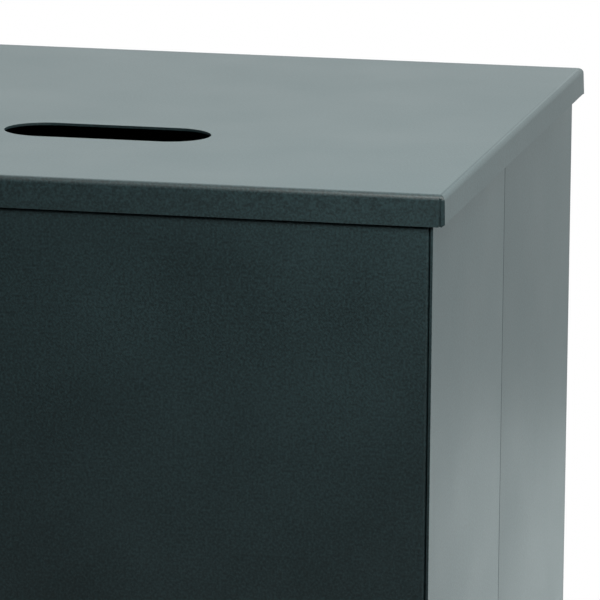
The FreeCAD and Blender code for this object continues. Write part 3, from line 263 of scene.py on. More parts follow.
def turn_outwards(obj, way):
    """In edit mode, make all faces look outwards, with the widest one along way."""
    bpy.ops.mesh.select_all(action="SELECT")
    bpy.ops.mesh.normals_make_consistent(inside=False)
    widest = max(bmesh.from_edit_mesh(obj.data).faces, key=lambda face: face.calc_area())
    if widest.normal.dot(Vector(way)) < 0:
        bpy.ops.mesh.flip_normals()


def finish_modifier(obj, kind, **settings):
    """Add a modifier with its settings and apply it."""
    select_only(obj)
    modifier = obj.modifiers.new(kind.title(), kind)
    for name, value in settings.items():
        setattr(modifier, name, value)
    bpy.ops.object.modifier_apply(modifier=modifier.name)


def thicken(obj, thickness):
    """Give a sheet its thickness, inwards from its outer face."""
    finish_modifier(obj, "SOLIDIFY", thickness=thickness, offset=-1, use_even_offset=True)


def cut_out(obj, cutters):
    """Take cutters away from a piece, and delete them."""
    for cutter in cutters:
        finish_modifier(obj, "BOOLEAN", object=cutter, operation="DIFFERENCE", solver="EXACT")
        bpy.data.objects.remove(cutter)


def smooth(obj):
    """Shade curved faces smooth, and keep flat ones flat up to their rounded edges."""
    select_only(obj)
    bpy.ops.object.shade_smooth_by_angle(angle=math.radians(40))
    finish_modifier(obj, "WEIGHTED_NORMAL", keep_sharp=True, weight=100)


def soften(obj, radius, segments=2):
    """Round the sharp edges by a radius, and shade the folds smooth."""
    sharp = math.radians(35)
    finish_modifier(obj, "BEVEL", width=radius, segments=segments, limit_method="ANGLE",
                    angle_limit=sharp)
    smooth(obj)


def folded(name, path, rise, gauge, fold, outside):
    """A sheet drawn out along rise from a path of outer corners, folded at each of them.

    outside is the way that the first flange's outer face looks.
    """
    bpy.ops.object.select_all(action="DESELECT")
    path = [Vector(corner) for corner in path]
    bpy.ops.mesh.primitive_plane_add(size=MM, location=path[0])
    obj = settle(name)
    bpy.ops.object.mode_set(mode="EDIT")
    bpy.context.tool_settings.mesh_select_mode = (True, False, False)
    bpy.ops.mesh.select_all(action="SELECT")
    bpy.ops.mesh.merge(type="CENTER")
    for here, there in zip(path, path[1:]):
        bpy.ops.mesh.extrude_region_move(TRANSFORM_OT_translate={"value": there - here})
    bpy.ops.mesh.select_all(action="SELECT")
    bpy.ops.mesh.extrude_region_move(TRANSFORM_OT_translate={"value": rise})
    bpy.ops.mesh.select_all(action="SELECT")
    bpy.ops.mesh.normals_make_consistent(inside=False)
    middle = (path[0] + path[1] + Vector(rise)) / 2
    shape = bmesh.from_edit_mesh(obj.data)
    first = min(shape.faces, key=lambda f: (f.calc_center_median() - middle).length)
    if first.normal.dot(Vector(outside)) < 0:
        bpy.ops.mesh.flip_normals()
    least_turn = math.radians(20)
    corners = [here for before, here, after in zip(path, path[1:], path[2:])
               if (here - before).angle(after - here) > least_turn]

    def above(point, corner):
        return (point - corner).cross(Vector(rise)).length < 1e-9

    if corners:
        bend_edges(obj, lambda a, b: any(above(a, c) and above(b, c) for c in corners), fold, 6)
    bpy.ops.object.mode_set(mode="OBJECT")
    thicken(obj, gauge)
    return obj


def bowed(start, end, bulge):
    """Points from start to end along a shallow arch that stands out by bulge."""
    steps = 12
    start, end, bulge = Vector(start), Vector(end), Vector(bulge)
    shares = [step / steps for step in range(steps + 1)]
    return [start.lerp(end, t) + bulge * (4 * t * (1 - t)) for t in shares]


def node_copy(node, radius):
    """A merged copy of a frame node with softened edges, in its place."""
    obj = bpy.data.objects.new(f"{node}_finished", frame["nodes"][node].data.copy())
    bpy.context.scene.collection.objects.link(obj)
    select_only(obj)
    bpy.ops.object.mode_set(mode="EDIT")
    bpy.ops.mesh.select_all(action="SELECT")
    bpy.ops.mesh.remove_doubles(threshold=0.001 * MM)
    bpy.ops.mesh.dissolve_limited(angle_limit=math.radians(0.5))
    bpy.ops.object.mode_set(mode="OBJECT")
    if obj.data.has_custom_normals:
        bpy.ops.mesh.customdata_custom_splitnormals_clear()
    soften(obj, radius)
    return obj


def side_box(node, sign):
    """Corners of a node at one side of the box, and where its outer and inner faces are."""
    low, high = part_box(node)
    outer, inner = (high.x, low.x) if sign > 0 else (low.x, high.x)
    return low, high, outer, inner


def slot_of(node):
    """The material slot that the record gives a node."""
    return next(entry["material_slot"] for entry in frame["record"]["subparts"]
                if entry["node"] == node)


def body_of(node):
    """The body that a node belongs to."""
    return next(body for body, members in frame["record"]["behaviour"]["bodies"].items()
                if node in members)


def paint(obj, slot):
    """Give a finished piece the material of its slot."""
    obj.data.materials.clear()
    obj.data.materials.append(FINISHES[slot]())


def hang(obj, node):
    """Let a finished piece stand for a node, in that node's finish and on its body."""
    paint(obj, slot_of(node))
    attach(obj, body_of(node))
    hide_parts(node)


# Materials


def start_material(name):
    """A material and its shader, or no shader if the material is there already."""
    material = bpy.data.materials.get(name)
    if material:
        return material, None
    material = bpy.data.materials.new(name)
    material.use_nodes = True
    return material, material.node_tree.nodes["Principled BSDF"]


def add_node(tree, kind, inputs=None, **settings):
    """Add a node, set its options, and set or link its inputs."""
    node = tree.nodes.new(kind)
    for name, value in settings.items():
        setattr(node, name, value)
    for name, value in (inputs or {}).items():
        if isinstance(value, bpy.types.NodeSocket):
            tree.links.new(value, node.inputs[name])
        else:
            node.inputs[name].default_value = value
    return node


def set_ramp(ramp, stops):
    """Give a colour ramp its stops, as (place, colour) pairs."""
    elements = ramp.color_ramp.elements
    while len(elements) > 1:
        elements.remove(elements[-1])
    for index, (place, colour) in enumerate(stops):
        element = elements[0] if index == 0 else elements.new(place)
        element.position = place
        element.color = (*colour, 1)


def dress(tree, shader, tint_by, stops, dull_by, dullness, relief_by, depth):
    """Let a pattern drive the shader's colour, another its roughness and another its relief."""
    tint = add_node(tree, "ShaderNodeValToRGB", {"Fac": tint_by.outputs[0]})
    set_ramp(tint, stops)
    tree.links.new(tint.outputs["Color"], shader.inputs["Base Color"])
    spread = add_node(tree, "ShaderNodeMapRange",
                      {"Value": dull_by.outputs[0], "From Min": 0.3, "From Max": 0.7,
                       "To Min": dullness[0], "To Max": dullness[1]})
    tree.links.new(spread.outputs["Result"], shader.inputs["Roughness"])
    relief = add_node(tree, "ShaderNodeBump",
                      {"Height": relief_by.outputs[0], "Distance": depth, "Strength": 1.0})
    tree.links.new(relief.outputs["Normal"], shader.inputs["Normal"])


def slate_powder_coat():
    """Textured polyester powder coat on steel: a dark, nearly matt coat whose fine sprayed grain
    breaks up reflections, and which turns pale where light grazes it."""
    material, shader = start_material("slate_powder_coat")
    if shader is None:
        return material
    coat = bpy.context.scene.drop_box_paint
    tree = material.node_tree
    place = add_node(tree, "ShaderNodeTexCoord").outputs["Object"]
    # Faint clouds in the coat, nine of them to a metre
    cloud = add_node(tree, "ShaderNodeTexNoise", {"Vector": place, "Scale": 9.0, "Detail": 3.0})
    speckle = add_node(tree, "ShaderNodeTexNoise",
                       {"Vector": place, "Scale": 1 / (2 * coat.grain), "Detail": 2.0})
    mixed = add_node(tree, "ShaderNodeMix",
                     {"Factor": 0.75, 2: cloud.outputs["Fac"], 3: speckle.outputs["Fac"]})
    base = tuple(coat.colour)
    darker = tuple(c * 0.6 for c in base)
    lighter = tuple(c * 1.5 for c in base)
    unevenness = 0.015
    dress(tree, shader, mixed, ((0.36, darker), (0.5, base), (0.64, lighter)),
          cloud, (coat.roughness - unevenness, coat.roughness + unevenness),
          speckle, coat.texture_depth)
    shader.inputs["IOR"].default_value = 1.5
    return material


def simple_material(name, colour, roughness, metallic=0.0, ior=1.5, grain=1.0, depth=0.02,
                    variation=0.12):
    """A finish whose colour varies a little, with a grain of a real size and depth in mm."""
    material, shader = start_material(name)
    if shader is None:
        return material
    tree = material.node_tree
    place = add_node(tree, "ShaderNodeTexCoord").outputs["Object"]
    noise = add_node(tree, "ShaderNodeTexNoise",
                     {"Vector": place, "Scale": 1 / (2 * grain * MM), "Detail": 3.0})
    base = linear(colour)
    darker = tuple(c * (1 - variation) for c in base)
    lighter = tuple(min(1.0, c * (1 + variation)) for c in base)
    dress(tree, shader, noise, ((0.3, darker), (0.7, lighter)),
          noise, (roughness * 0.85, roughness * 1.15), noise, depth * MM)
    shader.inputs["Metallic"].default_value = metallic
    if not metallic:
        shader.inputs["IOR"].default_value = ior
    return material


def zinc_plate():
    """Bright zinc plate on steel screws and brackets: pale, slightly blue, softly brushed."""
    return simple_material("bright_zinc_plate", "#b9bec2", 0.34, 1.0, grain=0.5, depth=0.002,
                           variation=0.06)


def spring_steel():
    """Oiled, cold-drawn spring wire: dark and glossy along its draw marks."""
    return simple_material("oiled_spring_steel", "#6f7072", 0.3, 1.0, grain=0.4, depth=0.001,
                           variation=0.08)


def nickel_plate():
    """Satin nickel plate on die-cast zinc: warm pale metal."""
    return simple_material("satin_nickel_plate", "#b9b4aa", 0.3, 1.0, grain=0.5, depth=0.0002,
                           variation=0.02)


def white_nylon():
    """Moulded natural nylon: milky, waxy and a little translucent to the eye."""
    return simple_material("moulded_nylon", "#dcd9cd", 0.42, ior=1.53, grain=0.8, depth=0.01,
                           variation=0.04)


def black_abs():
    """Moulded ABS with a spark-eroded grain: black, fine-pitted and half matt."""
    return simple_material("spark_eroded_abs", "#1b1c1d", 0.5, ior=1.53, grain=0.35, depth=0.03)


def black_rubber():
    """Moulded rubber: black with a grey bloom, quite matt."""
    return simple_material("moulded_rubber", "#1d1d1e", 0.72, ior=1.52, grain=1.2, depth=0.05)


def grey_felt():
    """Needle-punched wool felt: soft grey with short tangled fibres."""
    material = simple_material("needle_felt", "#5a5c5f", 0.95, ior=1.5, grain=1.4, depth=0.5,
                               variation=0.3)
    shader = material.node_tree.nodes["Principled BSDF"]
    shader.inputs["Sheen Weight"].default_value = 0.35
    shader.inputs["Sheen Roughness"].default_value = 0.6
    return material


FINISHES = {
    "painted_sheet": slate_powder_coat,
    "zinc_steel": zinc_plate,
    "spring_steel": spring_steel,
    "nickel_plate": nickel_plate,
    "white_nylon": white_nylon,
    "black_moulding": black_abs,
    "black_rubber": black_rubber,
    "grey_felt": grey_felt,
}

# How far each finish's edges are rounded on the fittings
EDGES = {
    "painted_sheet": 0.3 * MM,
    "zinc_steel": 0.25 * MM,
    "nickel_plate": 0.35 * MM,
    "white_nylon": 0.5 * MM,
    "black_moulding": 0.5 * MM,
    "black_rubber": 0.8 * MM,
}

# Screws whose heads show: node, the way that the heads look, length of their cross recess
RECESSED = (
    ("pull_screws", (0, -1, 0), 3.4 * MM),
    ("cam_screw", (0, 1, 0), 4.6 * MM),
    ("foot_screws", (0, 0, -1), 6 * MM),
)

# Nodes that have an operator of their own, so that the brackets' one leaves them out
SHAPED = (
    "lid_cover", "door_skin", "rear_shell", "platform_mat", "platform_tray", "base_pan",
    "front_header", "front_sill", "rear_top_angle", "lid_front_rib", "lid_rear_rib",
    "door_stiffener", *(node for node, _, _ in RECESSED),
    *(f"{side}_{part}" for side, _ in SIDES
      for part in ("front_side", "spring", "door_jamb", "guide_post", "top_angle")),
)


# Pieces


class DropBoxPiece:
    """What the operators share."""

    bl_options = {"REGISTER", "UNDO"}


class DROPBOX_OT_lid(DropBoxPiece, bpy.types.Operator):
    """Fold the lid from one sheet and cut its slot and corner joints"""

    bl_idname = "dropbox.lid"
    bl_label = "Lid"

    def execute(self, context):
        sheet = context.scene.drop_box_sheet
        low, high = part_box("lid_cover")
        width = high.x - low.x - 2 * sheet.side_flare
        depth = high.y - low.y - 2 * sheet.flare
        lid = add_plane("lid", ((low.x + high.x) / 2, (low.y + high.y) / 2, high.z), width, depth)
        bpy.ops.object.mode_set(mode="EDIT")
        pull_rim(lid, (0, 0, low.z - high.z))
        bpy.ops.transform.resize(
            value=((high.x - low.x) / width, (high.y - low.y) / depth, 1),
            center_override=(0, 0, low.z))
        bend_edges(lid, lambda a, b: min(a.z, b.z) > high.z - MM, sheet.lid_fold, 6)
        turn_outwards(lid, (0, 0, 1))
        bpy.ops.object.mode_set(mode="OBJECT")
        thicken(lid, SHEET)
        cut_out(lid, [*self.slot_cutters(high), *self.lip_cutters(low, high)])
        soften(lid, sheet.lid_edge, segments=3)
        self.add_tabs(lid, low, high)
        hang(lid, "lid_cover")
        return {"FINISHED"}

    def slot_cutters(self, high):
        """A bar with two round ends, through the top."""
        slot_low, slot_high = self.slot_box()
        radius = (slot_high.y - slot_low.y) / 2
        middle = (slot_low.y + slot_high.y) / 2
        ends = (slot_low.x + radius, slot_high.x - radius)
        return [add_block("slot_cutter", (ends[0], slot_low.y, high.z - 3 * SHEET),
                          (ends[1], slot_high.y, high.z + SHEET)),
                *(add_rod("slot_end", (end, middle, high.z - SHEET), radius, 4 * SHEET, 96)
                  for end in ends)]

    def lip_cutters(self, low, high):
        """What shortens the side lips, opens the corner joints and slants the strips' ends."""
        side_lip = 21.3 * MM
        strip = 3.2 * MM
        joint = 1.6 * MM
        joint_top = high.z - 1.3 * SHEET
        rise = 2 * MM
        slant = math.atan2(rise, strip)
        past = 3 * MM
        cutters = []
        for _, sign in SIDES:
            across = sorted((sign * (high.x - 2 * SHEET), sign * (high.x + past)))
            cutters.append(add_block("lip_trim", (across[0], low.y + SHEET, low.z - past),
                                     (across[1], high.y - SHEET, high.z - side_lip)))
            across = sorted((sign * (high.x - strip), sign * (high.x - strip - joint)))
            for end in (low.y, high.y):
                cutters.append(add_block("joint_cutter", (across[0], end - past, low.z - past),
                                         (across[1], end + past, joint_top)))
                place = (sign * high.x, end, low.z + rise)
                cutter = add_block("strip_trim", (-strip, -past, -2 * past), (strip, past, 0))
                bpy.ops.transform.rotate(value=sign * slant, orient_axis="Y",
                                         center_override=(0, 0, 0))
                bpy.ops.transform.translate(value=place)
                bpy.ops.object.transform_apply(location=True, rotation=True, scale=True)
                cutters.append(cutter)
        return cutters

    def add_tabs(self, lid, low, high):
        """A weld tab close behind each corner joint, which keeps the joint dark and shut."""
        reach = 8.6 * MM
        clear = 0.1 * MM
        for _, sign in SIDES:
            across = sorted((sign * (high.x - reach), sign * (high.x - SHEET)))
            for end, way in ((low.y, 1), (high.y, -1)):
                along = sorted((end + way * (SHEET + clear), end + way * 2 * SHEET))
                tab = add_block("weld_tab", (across[0], along[0], low.z + clear),
                                (across[1], along[1], high.z - SHEET))
                soften(tab, EDGES["painted_sheet"])
                select_only(lid)
                tab.select_set(True)
                bpy.ops.object.join()

    def slot_box(self):
        """Corners of the book slot, from the frame's slot wall."""
        low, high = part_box("lid_cover")
        margin = 30 * MM
        rim = [v.co for v in frame["nodes"]["lid_cover"].data.vertices
               if v.co.z > high.z - 0.01 * MM
               and low.x + margin < v.co.x < high.x - margin
               and low.y + margin < v.co.y < high.y - margin]
        return (Vector((min(p.x for p in rim), min(p.y for p in rim), high.z)),
                Vector((max(p.x for p in rim), max(p.y for p in rim), high.z)))


class DROPBOX_OT_door(DropBoxPiece, bpy.types.Operator):
    """Fold the door panel into a shallow pan, with holes for its lock and finger pull"""

    bl_idname = "dropbox.door"
    bl_label = "Door panel"

    def execute(self, context):
        sheet = context.scene.drop_box_sheet
        low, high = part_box("door_skin")
        high += Vector((sheet.door_growth, 0, sheet.door_rise))
        lip = 15 * MM
        middle = (low + high) / 2
        door = add_plane("door_panel", (middle.x, low.y, middle.z), high.x - low.x, high.z - low.z,
                         turn=(math.radians(90), 0, 0))
        bpy.ops.object.mode_set(mode="EDIT")
        pull_rim(door, (0, high.y - low.y, 0))
        pull_rim(door, (0, 0, 0))
        bpy.ops.transform.resize(
            value=(1 - 2 * lip / (high.x - low.x), 1, 1 - 2 * lip / (high.z - low.z)),
            center_override=(middle.x, high.y, middle.z))
        for depth in (low.y, high.y):
            bend_edges(door, lambda a, b, depth=depth: self.is_fold(a, b, depth, low, high),
                       sheet.door_fold, 5)
        turn_outwards(door, (0, -1, 0))
        bpy.ops.object.mode_set(mode="OBJECT")
        thicken(door, THIN_SHEET)
        cut_out(door, self.holes(low))
        soften(door, sheet.edge)
        hang(door, "door_skin")
        return {"FINISHED"}

    def is_fold(self, a, b, depth, low, high):
        """True for the long edges of the outer outline at one depth."""
        def on_outline(p):
            return (abs(p.y - depth) < 0.01 * MM
                    and (min(p.x - low.x, high.x - p.x) < 0.01 * MM
                         or min(p.z - low.z, high.z - p.z) < 0.01 * MM))
        return on_outline(a) and on_outline(b)

    def holes(self, low):
        """Round holes for the lock and the pivot bushes, and an oblong one for the finger pull."""
        lock_radius = 9.6 * MM
        bush_radius = 6.1 * MM
        past = 3 * MM
        lock_low, lock_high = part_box("lock_housing")
        lock = (lock_low + lock_high) / 2
        pull_low, pull_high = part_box("finger_pull")
        rim = 5 * MM
        end_rim = 12 * MM
        cutters = [
            add_rod("lock_hole", (lock.x, low.y, lock.z), lock_radius, 4 * past, 64,
                    turn=(math.radians(90), 0, 0)),
            add_block("pull_hole",
                      (pull_low.x + rim, low.y - past, pull_low.z + end_rim),
                      (pull_high.x - rim, low.y + past, pull_high.z - end_rim)),
        ]
        for bush in ("upper_pivot_bush", "lower_pivot_bush"):
            bush_low, bush_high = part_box(bush)
            centre = (bush_low + bush_high) / 2
            cutters.append(add_rod("bush_hole", centre, bush_radius, 10 * past, 48))
        return cutters


class DROPBOX_OT_walls(DropBoxPiece, bpy.types.Operator):
    """Cut the two front side sheets and fold the rear shell"""

    bl_idname = "dropbox.walls"
    bl_label = "Walls"

    def execute(self, context):
        sheet = context.scene.drop_box_sheet
        for side, sign in SIDES:
            self.add_side(sheet, side, sign)
        self.add_shell(sheet)
        return {"FINISHED"}

    def add_side(self, sheet, side, sign):
        """A side sheet that bows out a little between its front and rear edges."""
        node = f"{side}_front_side"
        low, high, outer, _ = side_box(node, sign)
        wall = folded(f"{side}_side_sheet",
                      bowed((outer, low.y, low.z), (outer, high.y, low.z),
                            (sign * sheet.bulge, 0, 0)),
                      (0, 0, high.z - low.z), high.x - low.x, 0, (sign, 0, 0))
        soften(wall, sheet.edge)
        hang(wall, node)

    def add_shell(self, sheet):
        """The back with both rear side walls, flat close to its two folds."""
        low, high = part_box("rear_shell")
        flat = 12 * MM
        right = bowed((high.x, low.y, low.z), (high.x, high.y - flat, low.z),
                      (sheet.bulge, 0, 0))
        left = bowed((low.x, high.y - flat, low.z), (low.x, low.y, low.z),
                     (-sheet.bulge, 0, 0))
        shell = folded("rear_shell_sheet",
                       (*right, (high.x, high.y, low.z), (low.x, high.y, low.z), *left),
                       (0, 0, high.z - low.z), SHEET, sheet.wall_fold, (1, 0, 0))
        soften(shell, sheet.edge)
        hang(shell, "rear_shell")


class DROPBOX_OT_frame_sheets(DropBoxPiece, bpy.types.Operator):
    """Fold the rails, jambs, guide posts, top angles and stiffening ribs"""

    bl_idname = "dropbox.frame_sheets"
    bl_label = "Rails, posts and ribs"

    def execute(self, context):
        sheet = context.scene.drop_box_sheet
        for node, path, rise, gauge, outside in self.sections():
            piece = folded(f"{node}_folded", path, rise, gauge, sheet.inner_fold, outside)
            soften(piece, sheet.edge)
            hang(piece, node)
        return {"FINISHED"}

    def sections(self):
        """Each folded piece: node, path of outer corners, length, sheet, first flange's side."""
        flange = 14 * MM
        for node in ("front_header", "front_sill"):
            low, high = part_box(node)
            path = ((low.x, high.y, low.z), (low.x, low.y, low.z),
                    (low.x, low.y, high.z), (low.x, high.y, high.z))
            yield node, path, (high.x - low.x, 0, 0), SHEET, (0, 0, -1)
        low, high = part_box("rear_top_angle")
        path = ((low.x, high.y, low.z), (low.x, high.y, high.z), (low.x, low.y, high.z))
        yield "rear_top_angle", path, (high.x - low.x, 0, 0), SHEET, (0, 1, 0)
        for side, sign in SIDES:
            yield from self.side_sections(side, sign, flange)
        for node in ("lid_front_rib", "lid_rear_rib"):
            low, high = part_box(node)
            near, far = low.y + flange + THIN_SHEET, high.y - flange - THIN_SHEET
            path = [(low.x, y, z) for y, z in (
                (low.y, high.z), (near, high.z), (near, low.z + THIN_SHEET),
                (far, low.z + THIN_SHEET), (far, high.z), (high.y, high.z))]
            yield node, path, (high.x - low.x, 0, 0), THIN_SHEET, (0, 0, 1)
        low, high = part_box("door_stiffener")
        near, far = low.x + flange + THIN_SHEET, high.x - flange - THIN_SHEET
        path = [(x, y, low.z) for x, y in (
            (low.x, low.y), (near, low.y), (near, high.y - THIN_SHEET),
            (far, high.y - THIN_SHEET), (far, low.y), (high.x, low.y))]
        yield "door_stiffener", path, (0, 0, high.z - low.z), THIN_SHEET, (0, -1, 0)

    def side_sections(self, side, sign, flange):
        """The door jamb, guide post and top angle of one side."""
        node = f"{side}_door_jamb"
        low, high, outer, inner = side_box(node, sign)
        path = ((inner, low.y, low.z), (outer, low.y, low.z), (outer, high.y, low.z))
        yield node, path, (0, 0, high.z - low.z), SHEET, (0, -1, 0)
        node = f"{side}_guide_post"
        low, high, outer, inner = side_box(node, sign)
        path = [(x, y, low.z) for x, y in (
            (inner, low.y + flange), (inner, low.y), (outer, low.y),
            (outer, high.y), (inner, high.y), (inner, high.y - flange))]
        yield node, path, (0, 0, high.z - low.z), SHEET, (-sign, 0, 0)
        node = f"{side}_top_angle"
        low, high, outer, inner = side_box(node, sign)
        path = ((outer, low.y, low.z), (outer, low.y, high.z), (inner, low.y, high.z))
        yield node, path, (0, high.y - low.y, 0), SHEET, (sign, 0, 0)


class DROPBOX_OT_pans(DropBoxPiece, bpy.types.Operator):
    """Fold the platform's tray and the base pan"""

    bl_idname = "dropbox.pans"
    bl_label = "Tray and base pan"

    def execute(self, context):
        sheet = context.scene.drop_box_sheet
        self.add_tray(sheet)
        self.add_base(sheet)
        return {"FINISHED"}

    def add_tray(self, sheet):
        """A plate with a notch for each guide post, and a rim turned down all round."""
        low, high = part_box("platform_tray")
        post_low, post_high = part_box("right_guide_post")
        side_clear = 7 * MM
        end_clear = 6 * MM
        notch_x = post_low.x - side_clear
        notch_ends = (post_low.y - end_clear, post_high.y + end_clear)
        tray = add_plane("tray", ((low.x + high.x) / 2, (low.y + high.y) / 2, high.z),
                         high.x - low.x, high.y - low.y)
        bpy.ops.object.mode_set(mode="EDIT")
        for across in (-notch_x, notch_x):
            bpy.ops.mesh.select_all(action="SELECT")
            bpy.ops.mesh.bisect(plane_co=(across, 0, high.z), plane_no=(1, 0, 0))
        for along in notch_ends:
            bpy.ops.mesh.select_all(action="SELECT")
            bpy.ops.mesh.bisect(plane_co=(0, along, high.z), plane_no=(0, 1, 0))
        pick_faces(tray, lambda centre: abs(centre.x) > notch_x
                   and notch_ends[0] < centre.y < notch_ends[1])
        bpy.ops.mesh.delete(type="FACE")
        bpy.ops.mesh.select_all(action="SELECT")
        bpy.ops.mesh.dissolve_limited(angle_limit=math.radians(1))
        pull_rim(tray, (0, 0, low.z - high.z))
        bend_edges(tray, lambda a, b: min(a.z, b.z) > high.z - MM, sheet.tray_fold, 5)
        turn_outwards(tray, (0, 0, 1))
        bpy.ops.object.mode_set(mode="OBJECT")
        thicken(tray, SHEET)
        soften(tray, sheet.edge)
        hang(tray, "platform_tray")

    def add_base(self, sheet):
        """A floor plate with its four edges turned up."""
        low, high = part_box("base_pan")
        base = add_plane("base", ((low.x + high.x) / 2, (low.y + high.y) / 2, low.z),
                         high.x - low.x, high.y - low.y)
        bpy.ops.object.mode_set(mode="EDIT")
        pull_rim(base, (0, 0, high.z - low.z))
        bend_edges(base, lambda a, b: max(a.z, b.z) < low.z + MM, sheet.inner_fold, 5)
        turn_outwards(base, (0, 0, -1))
        bpy.ops.object.mode_set(mode="OBJECT")
        thicken(base, SHEET)
        soften(base, sheet.edge)
        hang(base, "base_pan")


class DROPBOX_OT_screws(DropBoxPiece, bpy.types.Operator):
    """Press a cross recess into every screw head that shows"""

    bl_idname = "dropbox.screws"
    bl_label = "Screws"

    def execute(self, context):
        for node, way, size in RECESSED:
            self.add_screws(node, Vector(way), size)
        return {"FINISHED"}

    def add_screws(self, node, way, size):
        """Find each head by the points at its crown, and press a cross into its middle."""
        edge = 0.2 * MM
        crown = 0.05 * MM
        apart = 20 * MM
        screws = node_copy(node, edge)
        reach = max(v.co.dot(way) for v in screws.data.vertices)
        heads = []
        for vertex in screws.data.vertices:
            if vertex.co.dot(way) < reach - crown:
                continue
            near = [group for group in heads if (group[0] - vertex.co).length < apart]
            if near:
                near[0].append(vertex.co.copy())
            else:
                heads.append([vertex.co.copy()])
        cutters = []
        for points in heads:
            centre = Vector([(min(p[i] for p in points) + max(p[i] for p in points)) / 2
                             for i in range(3)])
            cutters += self.cross(centre, way, size)
        cut_out(screws, cutters)
        smooth(screws)
        hang(screws, node)

    def cross(self, centre, way, size):
        """Two crossed bars, a quarter as wide as long, that reach a little into the head."""
        flat = [axis for axis in range(3) if abs(way[axis]) < 0.5]
        bite = 0.3 * size
        bars = []
        for long_axis, short_axis in (flat, flat[::-1]):
            half = Vector([abs(part) * bite for part in way])
            half[long_axis] = size / 2
            half[short_axis] = size / 8
            bars.append(add_block("recess_bar", centre - half, centre + half))
        return bars


class DROPBOX_OT_brackets(DropBoxPiece, bpy.types.Operator):
    """Take the inner brackets, fittings and fasteners from the frame and round their edges"""

    bl_idname = "dropbox.brackets"
    bl_label = "Brackets and fittings"

    def execute(self, context):
        for entry in frame["record"]["subparts"]:
            node = entry["node"]
            if node not in SHAPED:
                hang(node_copy(node, EDGES[entry["material_slot"]]), node)
        return {"FINISHED"}


class DROPBOX_OT_springs(DropBoxPiece, bpy.types.Operator):
    """Wind the two extension springs of the platform"""

    bl_idname = "dropbox.springs"
    bl_label = "Springs"

    def execute(self, context):
        for side, _ in SIDES:
            self.add_spring(side)
        return {"FINISHED"}

    def add_spring(self, side):
        """A close coil with a ring at each end, drawn out between cabinet and platform."""
        node = f"{side}_spring"
        low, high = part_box(node)
        middle = (low + high) / 2
        wire = 0.9 * MM
        coil_radius = (high.x - low.x) / 2 - wire
        ring_radius = 5.2 * MM
        turns = 88
        coil_low = low.z + 2 * (ring_radius + wire) - wire
        coil_high = high.z - 2 * (ring_radius + wire) + wire
        pitch = (coil_high - coil_low) / turns
        bpy.ops.object.select_all(action="DESELECT")
        bpy.ops.mesh.primitive_circle_add(
            vertices=8, radius=wire, location=(middle.x + coil_radius, middle.y, coil_low),
            rotation=(math.radians(90), 0, 0))
        coil = settle(f"{side}_coil_spring")
        bpy.context.scene.cursor.location = (middle.x, middle.y, 0)
        bpy.ops.object.origin_set(type="ORIGIN_CURSOR")
        finish_modifier(coil, "SCREW", angle=math.radians(360), screw_offset=pitch,
                        iterations=turns, steps=16, render_steps=16, axis="Z",
                        use_normal_calculate=True)
        bpy.ops.object.transform_apply(location=True, rotation=True, scale=True)
        bpy.ops.object.mode_set(mode="EDIT")
        bpy.ops.mesh.select_all(action="SELECT")
        bpy.ops.mesh.remove_doubles(threshold=0.001 * MM)
        bpy.ops.mesh.select_all(action="DESELECT")
        bpy.ops.mesh.select_non_manifold()
        bpy.ops.mesh.edge_face_add()
        bpy.ops.mesh.select_all(action="SELECT")
        bpy.ops.mesh.normals_make_consistent(inside=False)
        bpy.ops.object.mode_set(mode="OBJECT")
        rings = []
        for end in (low.z + ring_radius + wire, high.z - ring_radius - wire):
            bpy.ops.object.select_all(action="DESELECT")
            bpy.ops.mesh.primitive_torus_add(
                major_radius=ring_radius, minor_radius=wire, major_segments=40, minor_segments=10,
                location=(middle.x, middle.y, end), rotation=(math.radians(90), 0, 0))
            rings.append(settle("end_ring"))
        select_only(coil)
        for ring in rings:
            ring.select_set(True)
        bpy.ops.object.join()
        smooth(coil)
        paint(coil, "spring_steel")
        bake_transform(coil, "cabinet", "platform",
                 start=(middle.x, middle.y, coil_high), end=(middle.x, middle.y, coil_low))
        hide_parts(node)
        self.keep_wire_round(coil, middle, coil_radius, coil_low, coil_high, pitch)

    def keep_wire_round(self, coil, middle, coil_radius, coil_low, coil_high, pitch):
        """Let the turns part as the spring stretches, instead of drawing the wire out."""
        wire_reach = 1.2 * MM
        for point, share in zip(coil.data.vertices, coil.data.attributes["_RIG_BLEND"].data):
            off = point.co - middle
            if abs(math.hypot(off.x, off.y) - coil_radius) > wire_reach:
                continue
            if not coil_low - MM < point.co.z < coil_high + MM:
                continue
            around = math.atan2(off.y, off.x) / math.tau
            turn = round((point.co.z - coil_low) / pitch - around)
            centre = coil_low + pitch * (turn + around)
            along = min(1.0, max(0.0, (coil_high - centre) / (coil_high - coil_low)))
            share.value = along * along * (3 - 2 * along)


